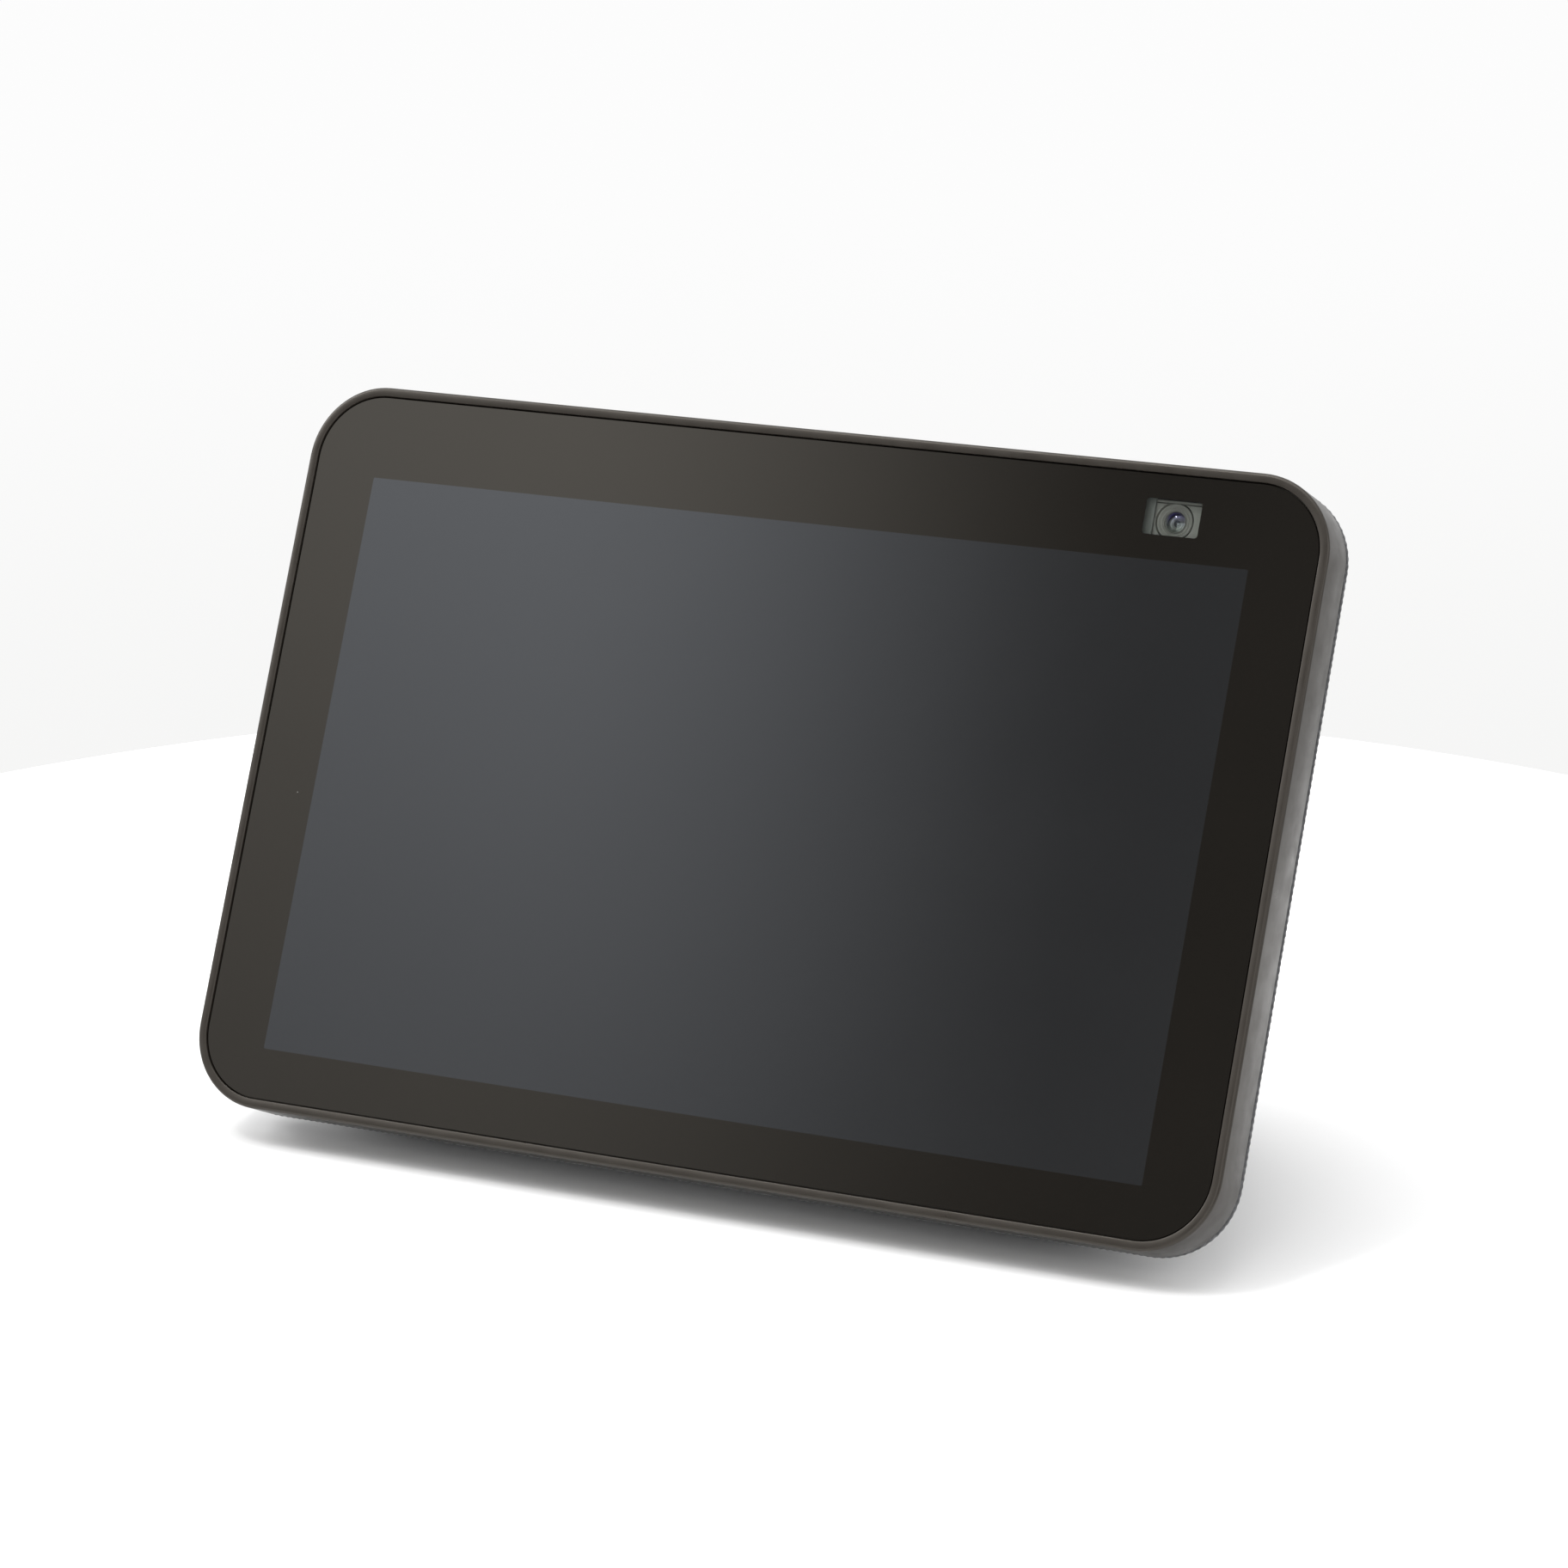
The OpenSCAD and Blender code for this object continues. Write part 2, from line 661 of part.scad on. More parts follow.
module rear_housing() color("#3c3d3f") in_body() difference() {
    union() {
        difference() {
            form(fabric_t + 0.05);
            form(fabric_t + housing_t, 6);
        }
        intersection() {
            form(fabric_t + 1);
            union() {
                housing_rim();
                for (p = post, s = [-1, 1]) post_shape(p, s);
                slab_in_body()
                    for (p = frame_tab) rod(2.6, slab_t + 0.05, slab_t + 5.5, p.x, p.y);
            }
        }
    }
    port_opening(0.3, 70, 100);
    for (p = post, s = [-1, 1])
        translate([s * p.x, p.y, -1]) cylinder(r = 1.25, h = 10, $fn = small_fn);
    slab_in_body() for (p = frame_tab) rod(1.2, slab_t - 1, slab_t + 4.5, p.x, p.y);
    for (s = [-1, 1], i = [-3 : 3]) {
        y = speaker_y + i * side_vent_pitch;
        reach = side_vent_reach - abs(i) * 2.4;
        block(min(s * 66, s * 99), max(s * 66, s * 99), y - vent_half, y + vent_half,
            speaker_z - reach, speaker_z + reach);
    }
    for (i = [-6 : 6])
        block(i * back_vent_pitch - vent_half, i * back_vent_pitch + vent_half, 80, 95,
            radiator_z - back_vent_reach, radiator_z + back_vent_reach);
}

module base_plate() color("#2a2b2d") in_body() difference() {
    union() {
        linear_extrude(base_t) foot_outline(fabric_t + housing_t + 0.3);
        for (s = [-1, 1], y = io_stand)
            translate([s * io_stand_x, y, 0]) cylinder(r = 2, h = io_board_z, $fn = small_fn);
    }
    for (p = post, s = [-1, 1]) {
        translate([s * p.x, p.y, -1]) cylinder(r = 1.4, h = 5, $fn = small_fn);
        translate([s * p.x, p.y, -1]) cylinder(r = 2.8, h = 2.2, $fn = small_fn);
    }
}

module rubber_foot() color("#1c1d1e") in_body()
    translate([0, 0, -foot_t]) linear_extrude(foot_t) difference() {
        foot_outline(5);
        foot_outline(18);
    }

module base_screws() color("#3b3d40") in_body()
    for (p = post, s = [-1, 1]) translate([s * p.x, p.y, 0]) {
        cylinder(r = 1.15, h = 8.6, $fn = small_fn);
        cylinder(r = 2.6, h = 1.1, $fn = small_fn);
    }

// ---------------------------------------------------------------- speaker box

function box_side(inset) = let (
        front = box_front + (inset > 0 ? -5 : 0),
        low = box_low + inset,
        high = box_high - inset,
        back = box_back - inset
    ) [
        behind((low + front * cos(body_angle)) / sin(body_angle), front),
        [54 - inset * 0.3, low],
        [back, 20 + inset * 0.7],
        [back, 60 - inset * 0.5],
        [72 - inset * 0.5, high],
        behind((high + front * cos(body_angle)) / sin(body_angle), front)
    ];

// Runs a side view across the body, between x0 and x1
module across(x0, x1) {
    translate([x0, 0, 0]) rotate([90, 0, 90]) linear_extrude(x1 - x0) children();
}

module enclosure_body() color("#222325") in_body() difference() {
    across(-speaker_x, speaker_x) polygon(box_side(0));
    across(-speaker_x + box_wall, speaker_x - box_wall) polygon(box_side(box_wall));
    translate([-speaker_x - 1, speaker_y, speaker_z]) rotate([0, 90, 0])
        cylinder(r = speaker_hole_r, h = 2 * speaker_x + 2);
    plate(box_back - 4, box_back + 1, 0, radiator_z)
        rounded(radiator_w + 16, radiator_h + 16, (radiator_h + 16) / 2 - 0.01);
    for (s = [-1, 1], k = [-1, 1])
        translate([s * (speaker_x + 1), speaker_y, speaker_z + k * ear_x]) rotate([0, -90 * s, 0])
            cylinder(r = 1, h = 8, $fn = small_fn);
}

module enclosure_lid() color("#2a2b2d") in_body()
    across(-speaker_x, speaker_x) polygon([
        behind((box_low + lid_y * cos(body_angle)) / sin(body_angle), lid_y),
        behind((box_low + box_front * cos(body_angle)) / sin(body_angle), box_front - 0.02),
        behind((box_high + box_front * cos(body_angle)) / sin(body_angle), box_front - 0.02),
        behind((box_high + lid_y * cos(body_angle)) / sin(body_angle), lid_y)
    ]);

module enclosure_grommets() color("#19191a") in_body()
    for (s = [-1, 1], y = [22, 46]) translate([s * 50, y, base_t]) difference() {
        cylinder(r = 4, h = box_low - base_t, $fn = small_fn);
        translate([0, 0, -1]) cylinder(r = 1.6, h = 8, $fn = small_fn);
    }

// A driver is drawn with its axis along +Z and its flange's back at z = 0, then
// turned to fire out of the side of the box
module on_side(side) {
    in_body() translate([side * speaker_x, speaker_y, speaker_z]) rotate([0, 90 * side, 0])
        children();
}

module speaker_frame(side) color("#3a3c3f") on_side(side) difference() {
    union() {
        cylinder(r = speaker_r, h = flange_t);
        for (k = [-1, 1])
            translate([k * ear_x, 0, 0]) cylinder(r = ear_r, h = flange_t, $fn = small_fn);
        translate([0, 0, basket_rim]) cylinder(r = basket_r, h = 0.5 - basket_rim);
        translate([0, 0, basket_back])
            cylinder(r1 = basket_back_r, r2 = basket_r, h = basket_rim - basket_back);
        translate([0, 0, basket_back - basket_wall]) cylinder(r = basket_back_r, h = basket_wall);
    }
    translate([0, 0, basket_rim]) cylinder(r = basket_r - basket_wall, h = 10);
    translate([0, 0, basket_back])
        cylinder(r1 = basket_back_r - basket_wall, r2 = basket_r - basket_wall,
            h = basket_rim - basket_back + 0.01);
    translate([0, 0, basket_back - 2]) cylinder(r = pole_gap_out, h = 4);
    for (k = [-1, 1]) translate([k * ear_x, 0, -1]) cylinder(r = ear_hole_r, h = 4, $fn = small_fn);
    for (a = [0 : 60 : 300]) rotate([0, 0, a]) translate([12, -4, -11.5]) cube([12, 8, 5.5]);
}

module speaker_magnet(side) color("#55585c") on_side(side) difference() {
    union() {
        translate([0, 0, -16.2]) cylinder(r = magnet_r - 0.5, h = 2);
        translate([0, 0, -21.4]) cylinder(r = magnet_r, h = 5.4);
        translate([0, 0, -23.4]) cylinder(r = magnet_r - 0.5, h = 2.2);
    }
    translate([0, 0, -21.2]) difference() {
        cylinder(r = pole_gap_out, h = 10);
        translate([0, 0, -1]) cylinder(r = pole_gap_in, h = 12);
    }
}

module speaker_cone(side) color("#232527") on_side(side) {
    rotate_extrude() polygon([[8.8, coil_low], [9.2, coil_low], [9.2, -5.2], [18.4, 0.8], [18.4, 1.4],
        [9, -4.6], [8.8, -4.6]]);
    translate([0, 0, -10.2]) intersection() {
        difference() {
            sphere(r = 10.6);
            sphere(r = 10.1);
        }
        translate([0, 0, 5.4]) cylinder(r = 9, h = 8);
    }
}

module speaker_surround(side) color("#161718") on_side(side) rotate_extrude() {
    translate([21.9, 1.6]) square([1.8, 0.4]);
    translate([17.9, 1.4]) square([0.8, 0.3]);
    difference() {
        translate([20.2, 1.6]) circle(1.9);
        translate([20.2, 1.6]) circle(1.5);
        translate([17, -1]) square([7, 2.6]);
    }
}

module speaker_spider(side) color("#b08a3a") on_side(side) rotate_extrude() polygon([
    [9.25, -10.4], [10.8, -9.6], [12.4, -10.4], [14, -9.6], [15.6, -10.4], [16.6, -10.4],
    [16.6, -10], [15.6, -10], [14, -9.2], [12.4, -10], [10.8, -9.2], [9.25, -10]]);

module speaker_frame_left() speaker_frame(-1);
module speaker_frame_right() speaker_frame(1);
module speaker_magnet_left() speaker_magnet(-1);
module speaker_magnet_right() speaker_magnet(1);
module speaker_cone_left() speaker_cone(-1);
module speaker_cone_right() speaker_cone(1);
module speaker_surround_left() speaker_surround(-1);
module speaker_surround_right() speaker_surround(1);
module speaker_spider_left() speaker_spider(-1);
module speaker_spider_right() speaker_spider(1);

module speaker_screws() color("#3b3d40")
    for (side = [-1, 1]) on_side(side) for (k = [-1, 1]) translate([k * ear_x, 0, 0]) {
        translate([0, 0, -4.5]) cylinder(r = 0.95, h = 6.2, $fn = small_fn);
        translate([0, 0, flange_t]) cylinder(r = 1.9, h = 1.1, $fn = small_fn);
    }

// ---------------------------------------------------------------- bass radiator

module radiator_frame() color("#303234") in_body()
    plate(box_back, box_back + 1.6, 0, radiator_z) difference() {
        rounded(radiator_w + 20, radiator_h + 20, (radiator_h + 20) / 2 - 0.01);
        rounded(radiator_w + 10, radiator_h + 10, (radiator_h + 10) / 2 - 0.01);
    }

module radiator_plate() color("#2b2d30") in_body()
    plate(box_back + 0.4, box_back + 2.8, 0, radiator_z)
        rounded(radiator_w, radiator_h, radiator_h / 2 - 0.01);

module radiator_surround() color("#161718") in_body()
    translate([0, box_back + 1.6, radiator_z])
        around(radiator_w, radiator_h, radiator_h / 2 - 0.5) difference() {
            translate([radiator_h / 2 - 0.5 + 2.6, 0]) circle(2.5);
            translate([radiator_h / 2 - 0.5 + 2.6, 0]) circle(2.1);
            translate([radiator_h / 2 - 0.5 - 1, -4]) square([8, 4]);
        }

// ---------------------------------------------------------------- sockets

module io_board() color(board_green) in_body() difference() {
    translate([0, 70, io_board_z]) linear_extrude(1.6) rounded(48, 20, 1.5);
    for (s = [-1, 1], y = io_stand)
        translate([s * io_stand_x, y, 0]) cylinder(r = 1, h = 8, $fn = small_fn);
}

module power_socket() color("#17181a") in_body() {
    difference() {
        block(jack_x - 4.5, jack_x + 4.5, 69.5, io_floor, io_board_z + 1.6, io_board_z + 10);
        rod(3, 73, io_floor + 1, jack_x, jack_z);
    }
    rod(1, 72, io_floor - 1, jack_x, jack_z);
}

module service_port() color("#a7a9ac") in_body() difference() {
    block(usb_x - 3.9, usb_x + 3.9, 77, io_floor, io_board_z + 1.6, io_board_z + 4.5);
    block(usb_x - 3.5, usb_x + 3.5, 78, io_floor + 1, io_board_z + 2, io_board_z + 4.1);
}

module port_trim() color("#1f2022") in_body() difference() {
    intersection() {
        port_opening(0, io_floor, 95);
        form(-0.35, 6);
    }
    port_opening(-2.4, io_floor + io_floor_t, 100);
    rod(3.4, io_floor - 1, 90, jack_x, jack_z);
    block(usb_x - 4.1, usb_x + 4.1, io_floor - 1, 90, io_board_z + 1.8, io_board_z + 4.3);
}

// Four wires in a flat bundle, with a plug on each board
module power_cable() color("#2b2b2b") in_body() {
    block(14, 22, 61, 63.4, io_board_z + 1.6, io_board_z + 4);
    slab_in_body() block(14, 22, board_back, board_back + 3.2, 30.2, 32.6);
    for (i = [0 : 3]) {
        x = 14.6 + i * 2;
        block(x, x + 1, 5, 61.5, wire_z, wire_z + 0.8);
        slab_in_body() block(x, x + 1, board_back + 2.4, board_back + 3.2, 5, 30.5);
    }
}

bezel_frame();
front_glass();
glass_adhesive();
lcd_panel();
backlight_unit();
display_bracket();
bracket_screws();
frame_screws();
display_flex();
main_board();
board_chips();
board_shield();
thermal_pad();
heat_spreader();
board_screws();
wifi_antennas();
camera_holder();
camera_lens();
camera_board();
camera_flex();
shutter_guide();
shutter_slider();
mic_button();
volume_down_button();
volume_up_button();
button_board();
button_switches();
microphones();
mic_seals();
button_flex();
rear_housing();
fabric_cover();
base_plate();
rubber_foot();
base_screws();
enclosure_body();
enclosure_lid();
enclosure_grommets();
speaker_frame_left();
speaker_frame_right();
speaker_magnet_left();
speaker_magnet_right();
speaker_cone_left();
speaker_cone_right();
speaker_surround_left();
speaker_surround_right();
speaker_spider_left();
speaker_spider_right();
speaker_screws();
radiator_frame();
radiator_plate();
radiator_surround();
io_board();
power_socket();
service_port();
port_trim();
power_cable();
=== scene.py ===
"""A countertop smart display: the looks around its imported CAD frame.

Lengths are in metres unless a name ends in _mm. +Z is up and the screen faces -Y.
Pieces on the screen slab are drawn in millimetres in the slab's own frame, x across,
y into the slab from its front edge and z up along its lean.
"""
import math

import bmesh
import bpy
import numpy as np
from mathutils import Matrix, Vector


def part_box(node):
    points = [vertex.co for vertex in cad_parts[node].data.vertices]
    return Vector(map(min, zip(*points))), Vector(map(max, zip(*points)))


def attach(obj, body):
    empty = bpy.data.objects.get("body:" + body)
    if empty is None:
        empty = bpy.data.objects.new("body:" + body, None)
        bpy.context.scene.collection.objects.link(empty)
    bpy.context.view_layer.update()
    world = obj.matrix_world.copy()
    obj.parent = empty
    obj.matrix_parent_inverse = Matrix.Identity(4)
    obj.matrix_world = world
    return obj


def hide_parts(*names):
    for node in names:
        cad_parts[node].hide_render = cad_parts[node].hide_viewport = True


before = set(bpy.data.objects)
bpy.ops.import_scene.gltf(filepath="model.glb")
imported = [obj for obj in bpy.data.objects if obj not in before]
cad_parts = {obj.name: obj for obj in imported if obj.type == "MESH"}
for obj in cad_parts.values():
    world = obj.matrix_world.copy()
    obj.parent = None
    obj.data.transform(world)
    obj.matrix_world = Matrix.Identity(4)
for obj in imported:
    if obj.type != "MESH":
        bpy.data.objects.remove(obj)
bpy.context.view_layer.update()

MM = 0.001
LEAN = math.radians(24.8)
SLAB_W, SLAB_H, SLAB_T, SLAB_R = 200.4, 135.9, 10.2, 14.1
WALL, EDGE_R = 1.7, 0.6
GLASS_GAP, GLASS_SET, GLASS_T = 0.25, 0.35, 1.1
MID_Z = SLAB_H / 2
ACTIVE_W, ACTIVE_H, ACTIVE_Z = 172.2, 107.6, MID_Z - 3.0
CAMERA_X, CAMERA_Z = 70.7, MID_Z + 58.5
LENS_X, LENS_Z, LENS_R = CAMERA_X - 0.25, CAMERA_Z - 0.25, 3.25
WINDOW_W, WINDOW_H, WINDOW_FLARE = 10.3, 6.45, 1.2
BUTTON_Y, BUTTON_GAP, BUTTON_LEN, BUTTON_WID, BUTTON_ROOM = 5.6, 19.0, 11.6, 4.0, 0.3
MIC_X, MIC_D = (-48.0, -33.0, 33.0, 48.0), 1.2
KNOB_X, KNOB_LEN, KNOB_WID, SHUTTER_TRAVEL = 61.5, 9.4, 3.8, 9.0
STEM_SLOT_W, STEM_SLOT_D = 14.8, 2.0

# The body's side view, as in the frame: a curve from the slab's top to the foot
PIVOT_DROP, FOOT_T = 1.85, 2.0
BASE_W, BASE_REACH = 160.0, 84.0
BODY_ANGLE = math.pi / 2 - LEAN
TOP_REACH = SLAB_H + PIVOT_DROP - 0.75
CURVE = np.array([
    (TOP_REACH * math.cos(BODY_ANGLE), TOP_REACH * math.sin(BODY_ANGLE)),
    (74.0, 92.0), (104.4, 16.0), (BASE_REACH, 0.0),
])
# Across the body: where its near side starts at the foot and at the slab, and how much
# larger than the slab's its corner radii are at the foot, for the far side and the near one
NEAR_FOOT, NEAR_SLAB = 7.0, 2.65
ROUNDER_ACROSS, ROUNDER_OUT, ROUNDER_NEAR = 38.0, 30.0, 8.0
FABRIC_T = 0.9
PORT_Z, PORT_W, PORT_H, PORT_FLOOR = 9.0, 40.0, 11.0, 84.2
JACK_X, JACK_Z, USB_X, USB_Z = -10.0, 9.2, 10.0, 6.45

FRAME_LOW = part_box("bezel_frame")[0]
SLAB_Y0 = FRAME_LOW.y / MM - EDGE_R * (math.cos(LEAN) + math.sin(LEAN) - 1)
SLAB_Z0 = FRAME_LOW.z / MM + SLAB_T * math.sin(LEAN)
SLAB_CORNER = Matrix.Translation(Vector((0, SLAB_Y0, SLAB_Z0)) * MM)
SLAB = SLAB_CORNER @ Matrix.Rotation(-LEAN, 4, "X")
BODY_Y0 = SLAB_Y0 + SLAB_T * math.cos(LEAN) - PIVOT_DROP * math.sin(LEAN)
BODY = Matrix.Translation(Vector((0, BODY_Y0, FOOT_T)) * MM)


# ------------------------------------------------------------------ material kit

def shader(name):
    """A new node material, with helpers to add nodes to it."""
    material = bpy.data.materials.new(name)
    material.use_nodes = True
    return material, Nodes(material.node_tree)


class Nodes:
    """Short calls for the nodes that the materials below share."""

    def __init__(self, tree):
        self.tree = tree
        self.surface = tree.nodes.get("Principled BSDF")
        self.coord = self.add("ShaderNodeTexCoord").outputs["Object"]

    def add(self, kind, **values):
        node = self.tree.nodes.new(kind)
        for key, value in values.items():
            setattr(node, key, value)
        return node

    def link(self, a, b):
        self.tree.links.new(a, b)

    def scaled(self, scale):
        """The object's own coordinates, stretched along its axes."""
        mapping = self.add("ShaderNodeMapping")
        mapping.inputs["Scale"].default_value = scale
        self.link(self.coord, mapping.inputs["Vector"])
        return mapping.outputs["Vector"]

    def noise(self, size_mm, detail=3.0, rough=0.55, stretch=(1, 1, 1)):
        """Noise whose features are about size_mm across."""
        node = self.add("ShaderNodeTexNoise")
        node.inputs["Scale"].default_value = 1.0 / (size_mm * MM)
        node.inputs["Detail"].default_value = detail
        node.inputs["Roughness"].default_value = rough
        self.link(self.scaled(stretch), node.inputs["Vector"])
        return node.outputs["Fac"]

    def cells(self, size_mm, feature="F1"):
        """Distances within cells that are about size_mm across."""
        node = self.add("ShaderNodeTexVoronoi", feature=feature)
        node.inputs["Scale"].default_value = 1.0 / (size_mm * MM)
        self.link(self.coord, node.inputs["Vector"])
        return node.outputs["Distance"]

    def ranged(self, value, low, high, start=0.3, end=0.7, curve="LINEAR"):
        """A value's stretch from start to end, spread over low to high."""
        node = self.add("ShaderNodeMapRange", interpolation_type=curve)
        node.inputs["From Min"].default_value = start
        node.inputs["From Max"].default_value = end
        node.inputs["To Min"].default_value = low
        node.inputs["To Max"].default_value = high
        self.link(value, node.inputs["Value"])
        return node.outputs["Result"]

    def ramp(self, value, stops):
        """Colours by value, from (place, colour) pairs."""
        node = self.add("ShaderNodeValToRGB")
        ramp = node.color_ramp
        while len(ramp.elements) < len(stops):
            ramp.elements.new(0.5)
        for element, (place, color) in zip(ramp.elements, stops):
            element.position = place
            element.color = (*color, 1)
        self.link(value, node.inputs["Fac"])
        return node.outputs["Color"]

    def mixed(self, factor, a, b, blend="MIX"):
        """Two colours mixed or multiplied. The sockets by number are the ones for colours."""
        node = self.add("ShaderNodeMix", data_type="RGBA", blend_type=blend)
        for value, socket in ((factor, node.inputs[0]), (a, node.inputs[6]), (b, node.inputs[7])):
            self.give(value, socket)
        return node.outputs[2]

    def bump(self, height, depth_mm, strength=1.0):
        node = self.add("ShaderNodeBump")
        node.inputs["Strength"].default_value = strength
        node.inputs["Distance"].default_value = depth_mm * MM
        self.link(height, node.inputs["Height"])
        return node.outputs["Normal"]

    def give(self, value, socket):
        """Links an output to a socket, or sets it to a number or a colour without its alpha."""
        if hasattr(value, "is_linked"):
            self.link(value, socket)
        elif hasattr(value, "__len__"):
            socket.default_value = (*value, 1)[:len(socket.default_value)]
        else:
            socket.default_value = value

    def set(self, **values):
        """Sets or links the surface's sockets, named with _ for a space."""
        for key, value in values.items():
            self.give(value, self.surface.inputs[key.replace("_", " ")])

    def clear(self, color):
        """A see-through shader in place of the usual surface."""
        self.tree.nodes.remove(self.surface)
        node = self.add("ShaderNodeBsdfTransparent")
        self.link(color, node.inputs["Color"])
        return node

    def mirrored(self, under, roughness, ior, color=None):
        """A mirror over another shader, stronger at a shallow angle."""
        gloss = self.add("ShaderNodeBsdfGlossy")
        gloss.inputs["Roughness"].default_value = roughness
        if color is not None:
            self.link(color, gloss.inputs["Color"])
        fresnel = self.add("ShaderNodeFresnel")
        fresnel.inputs["IOR"].default_value = ior
        mix = self.add("ShaderNodeMixShader")
        for source, socket in ((fresnel, 0), (under, 1), (gloss, 2)):
            self.link(source.outputs[0], mix.inputs[socket])
        return mix

    def show(self, node):
        """Makes a shader node the material's surface."""
        self.link(node.outputs[0], self.tree.nodes["Material Output"].inputs["Surface"])


def shade(color, factor):
    """A colour made lighter or darker."""
    return tuple(min(1.0, c * factor) for c in color)


def moulded(name, color, rough=0.5, grain_mm=0.35, depth_mm=0.012, spread=0.12, ior=1.5,
            tint=(1.0, 1.0, 1.0)):
    """Moulded plastic: a fine spark grain, faint cloudy colour and uneven gloss."""
    material, n = shader(name)
    cloud = n.noise(14, 4)
    dark, light = shade(color, 1 - spread), shade(color, 1 + spread)
    n.set(
        Base_Color=n.ramp(cloud, [(0.3, dark), (0.7, light)]),
        Roughness=n.ranged(n.noise(5, 5), rough - 0.07, rough + 0.07),
        IOR=ior,
        Specular_Tint=tint,
        Normal=n.bump(n.noise(grain_mm, 2, 0.6), depth_mm),
    )
    return material


def metal(name, color, rough=0.35, stretch=(1, 1, 1), grain_mm=0.6, depth_mm=0.006):
    """Rolled or turned metal with a directional grain and handling marks."""
    material, n = shader(name)
    grain = n.noise(grain_mm, 4, 0.65, stretch)
    n.set(
        Base_Color=n.ramp(n.noise(9, 4), [(0.3, shade(color, 0.86)), (0.7, shade(color, 1.06))]),
        Metallic=1.0,
        Roughness=n.ranged(grain, rough - 0.1, rough + 0.12),
        Normal=n.bump(grain, depth_mm),
    )
    return material


def elastomer(name, color, rough=0.75, grain_mm=0.5, depth_mm=0.03):
    """Rubber, foam or cable sheath: dull, finely pitted, dusty in scattered patches."""
    material, n = shader(name)
    dust = n.noise(3.5, 5, 0.7)
    stops = [(0.35, shade(color, 0.8)), (0.62, color), (0.8, shade(color, 1.5))]
    n.set(
        Base_Color=n.ramp(dust, stops),
        Roughness=n.ranged(dust, rough - 0.1, min(1.0, rough + 0.12)),
        Normal=n.bump(n.cells(grain_mm), depth_mm),
    )
    return material


def circuit(name, mask, trace):
    """Solder mask over copper: lighter runs in a rectangular maze, with tinned pads."""
    material, n = shader(name)
    brick = n.add("ShaderNodeTexBrick")
    brick.inputs["Scale"].default_value = 1.0 / (3.2 * MM)
    brick.inputs["Mortar Size"].default_value = 0.05
    brick.inputs["Color1"].default_value = (0, 0, 0, 1)
    brick.inputs["Color2"].default_value = (0.35, 0.35, 0.35, 1)
    brick.inputs["Mortar"].default_value = (1, 1, 1, 1)
    turned = n.add("ShaderNodeMapping")
    turned.inputs["Rotation"].default_value = (math.pi / 2 - LEAN, 0, 0)
    n.link(n.coord, turned.inputs["Vector"])
    n.link(turned.outputs["Vector"], brick.inputs["Vector"])
    runs = n.ranged(brick.outputs["Color"], 0, 1, 0.0, 1.0)
    pads = n.ranged(n.cells(2.6), 1, 0, 0.12, 0.16)
    painted = n.mixed(runs, shade(mask, 0.8), trace)
    n.set(
        Base_Color=n.mixed(pads, painted, (0.62, 0.6, 0.55)),
        Metallic=pads,
        Roughness=n.ranged(pads, 0.32, 0.42, 0, 1),
        Normal=n.bump(runs, 0.03),
    )
    return material


def printed_film(name, color, line):
    """Flexible circuit: parallel conductors under an amber film."""
    material, n = shader(name)
    wave = n.add("ShaderNodeTexWave", wave_type="BANDS", bands_direction="X")
    wave.inputs["Scale"].default_value = 1.0 / (3.0 * MM)
    n.link(n.coord, wave.inputs["Vector"])
    lines = n.ranged(wave.outputs["Fac"], 0, 1, 0.45, 0.6)
    n.set(
        Base_Color=n.mixed(lines, color, line),
        Roughness=n.ranged(n.noise(2), 0.3, 0.45),
        Coat_Weight=0.4,
        Normal=n.bump(lines, 0.02),
    )
    return material


# ------------------------------------------------------------------ materials

def glass_ink():
    """Cover glass over black ink: a polished face with faint smears and a few specks of dust."""
    material, n = shader("glass_over_ink")
    specks = n.ranged(n.cells(14), 1, 0, 0.005, 0.011)
    dark = n.ramp(n.noise(40, 3), [(0.3, (0.0030, 0.0024, 0.0018)),
                                   (0.7, (0.0040, 0.0032, 0.0025))])
    n.set(
        Base_Color=n.mixed(specks, dark, (0.35, 0.35, 0.34)),
        Roughness=n.ranged(n.noise(22, 6, 0.7), 0.02, 0.06),
        IOR=1.5,
        Specular_Tint=(1.0, 0.94, 0.84),
        Normal=n.bump(n.noise(60, 1), 0.01, 0.3),
    )
    return material


def glass_lit_area():
    """The unlit panel behind the glass: two more polished layers, so it reflects more."""
    material, n = shader("glass_over_panel")
    specks = n.ranged(n.cells(17), 1, 0, 0.004, 0.009)
    dark = n.ramp(n.noise(50, 3), [(0.3, (0.0064, 0.0063, 0.0062)),
                                   (0.7, (0.0078, 0.0077, 0.0076))])
    n.set(
        Base_Color=n.mixed(specks, dark, (0.35, 0.35, 0.34)),
        Roughness=n.ranged(n.noise(26, 6, 0.7), 0.03, 0.07),
        IOR=1.64,
        Specular_Tint=(0.88, 0.925, 1.0),
        Normal=n.bump(n.noise(60, 1), 0.01, 0.3),
    )
    return material


def glass_clear(front):
    """Bare glass over the camera: it reflects at its front face and lets light through."""
    material, n = shader("glass_window_front" if front else "glass_window_back")
    tint = n.ramp(n.noise(4, 3), [(0.3, (0.93, 0.955, 0.94)), (0.7, (0.96, 0.975, 0.965))])
    glass = n.clear(tint)
    n.show(n.mirrored(glass, 0.03, 1.45) if front else glass)
    return material


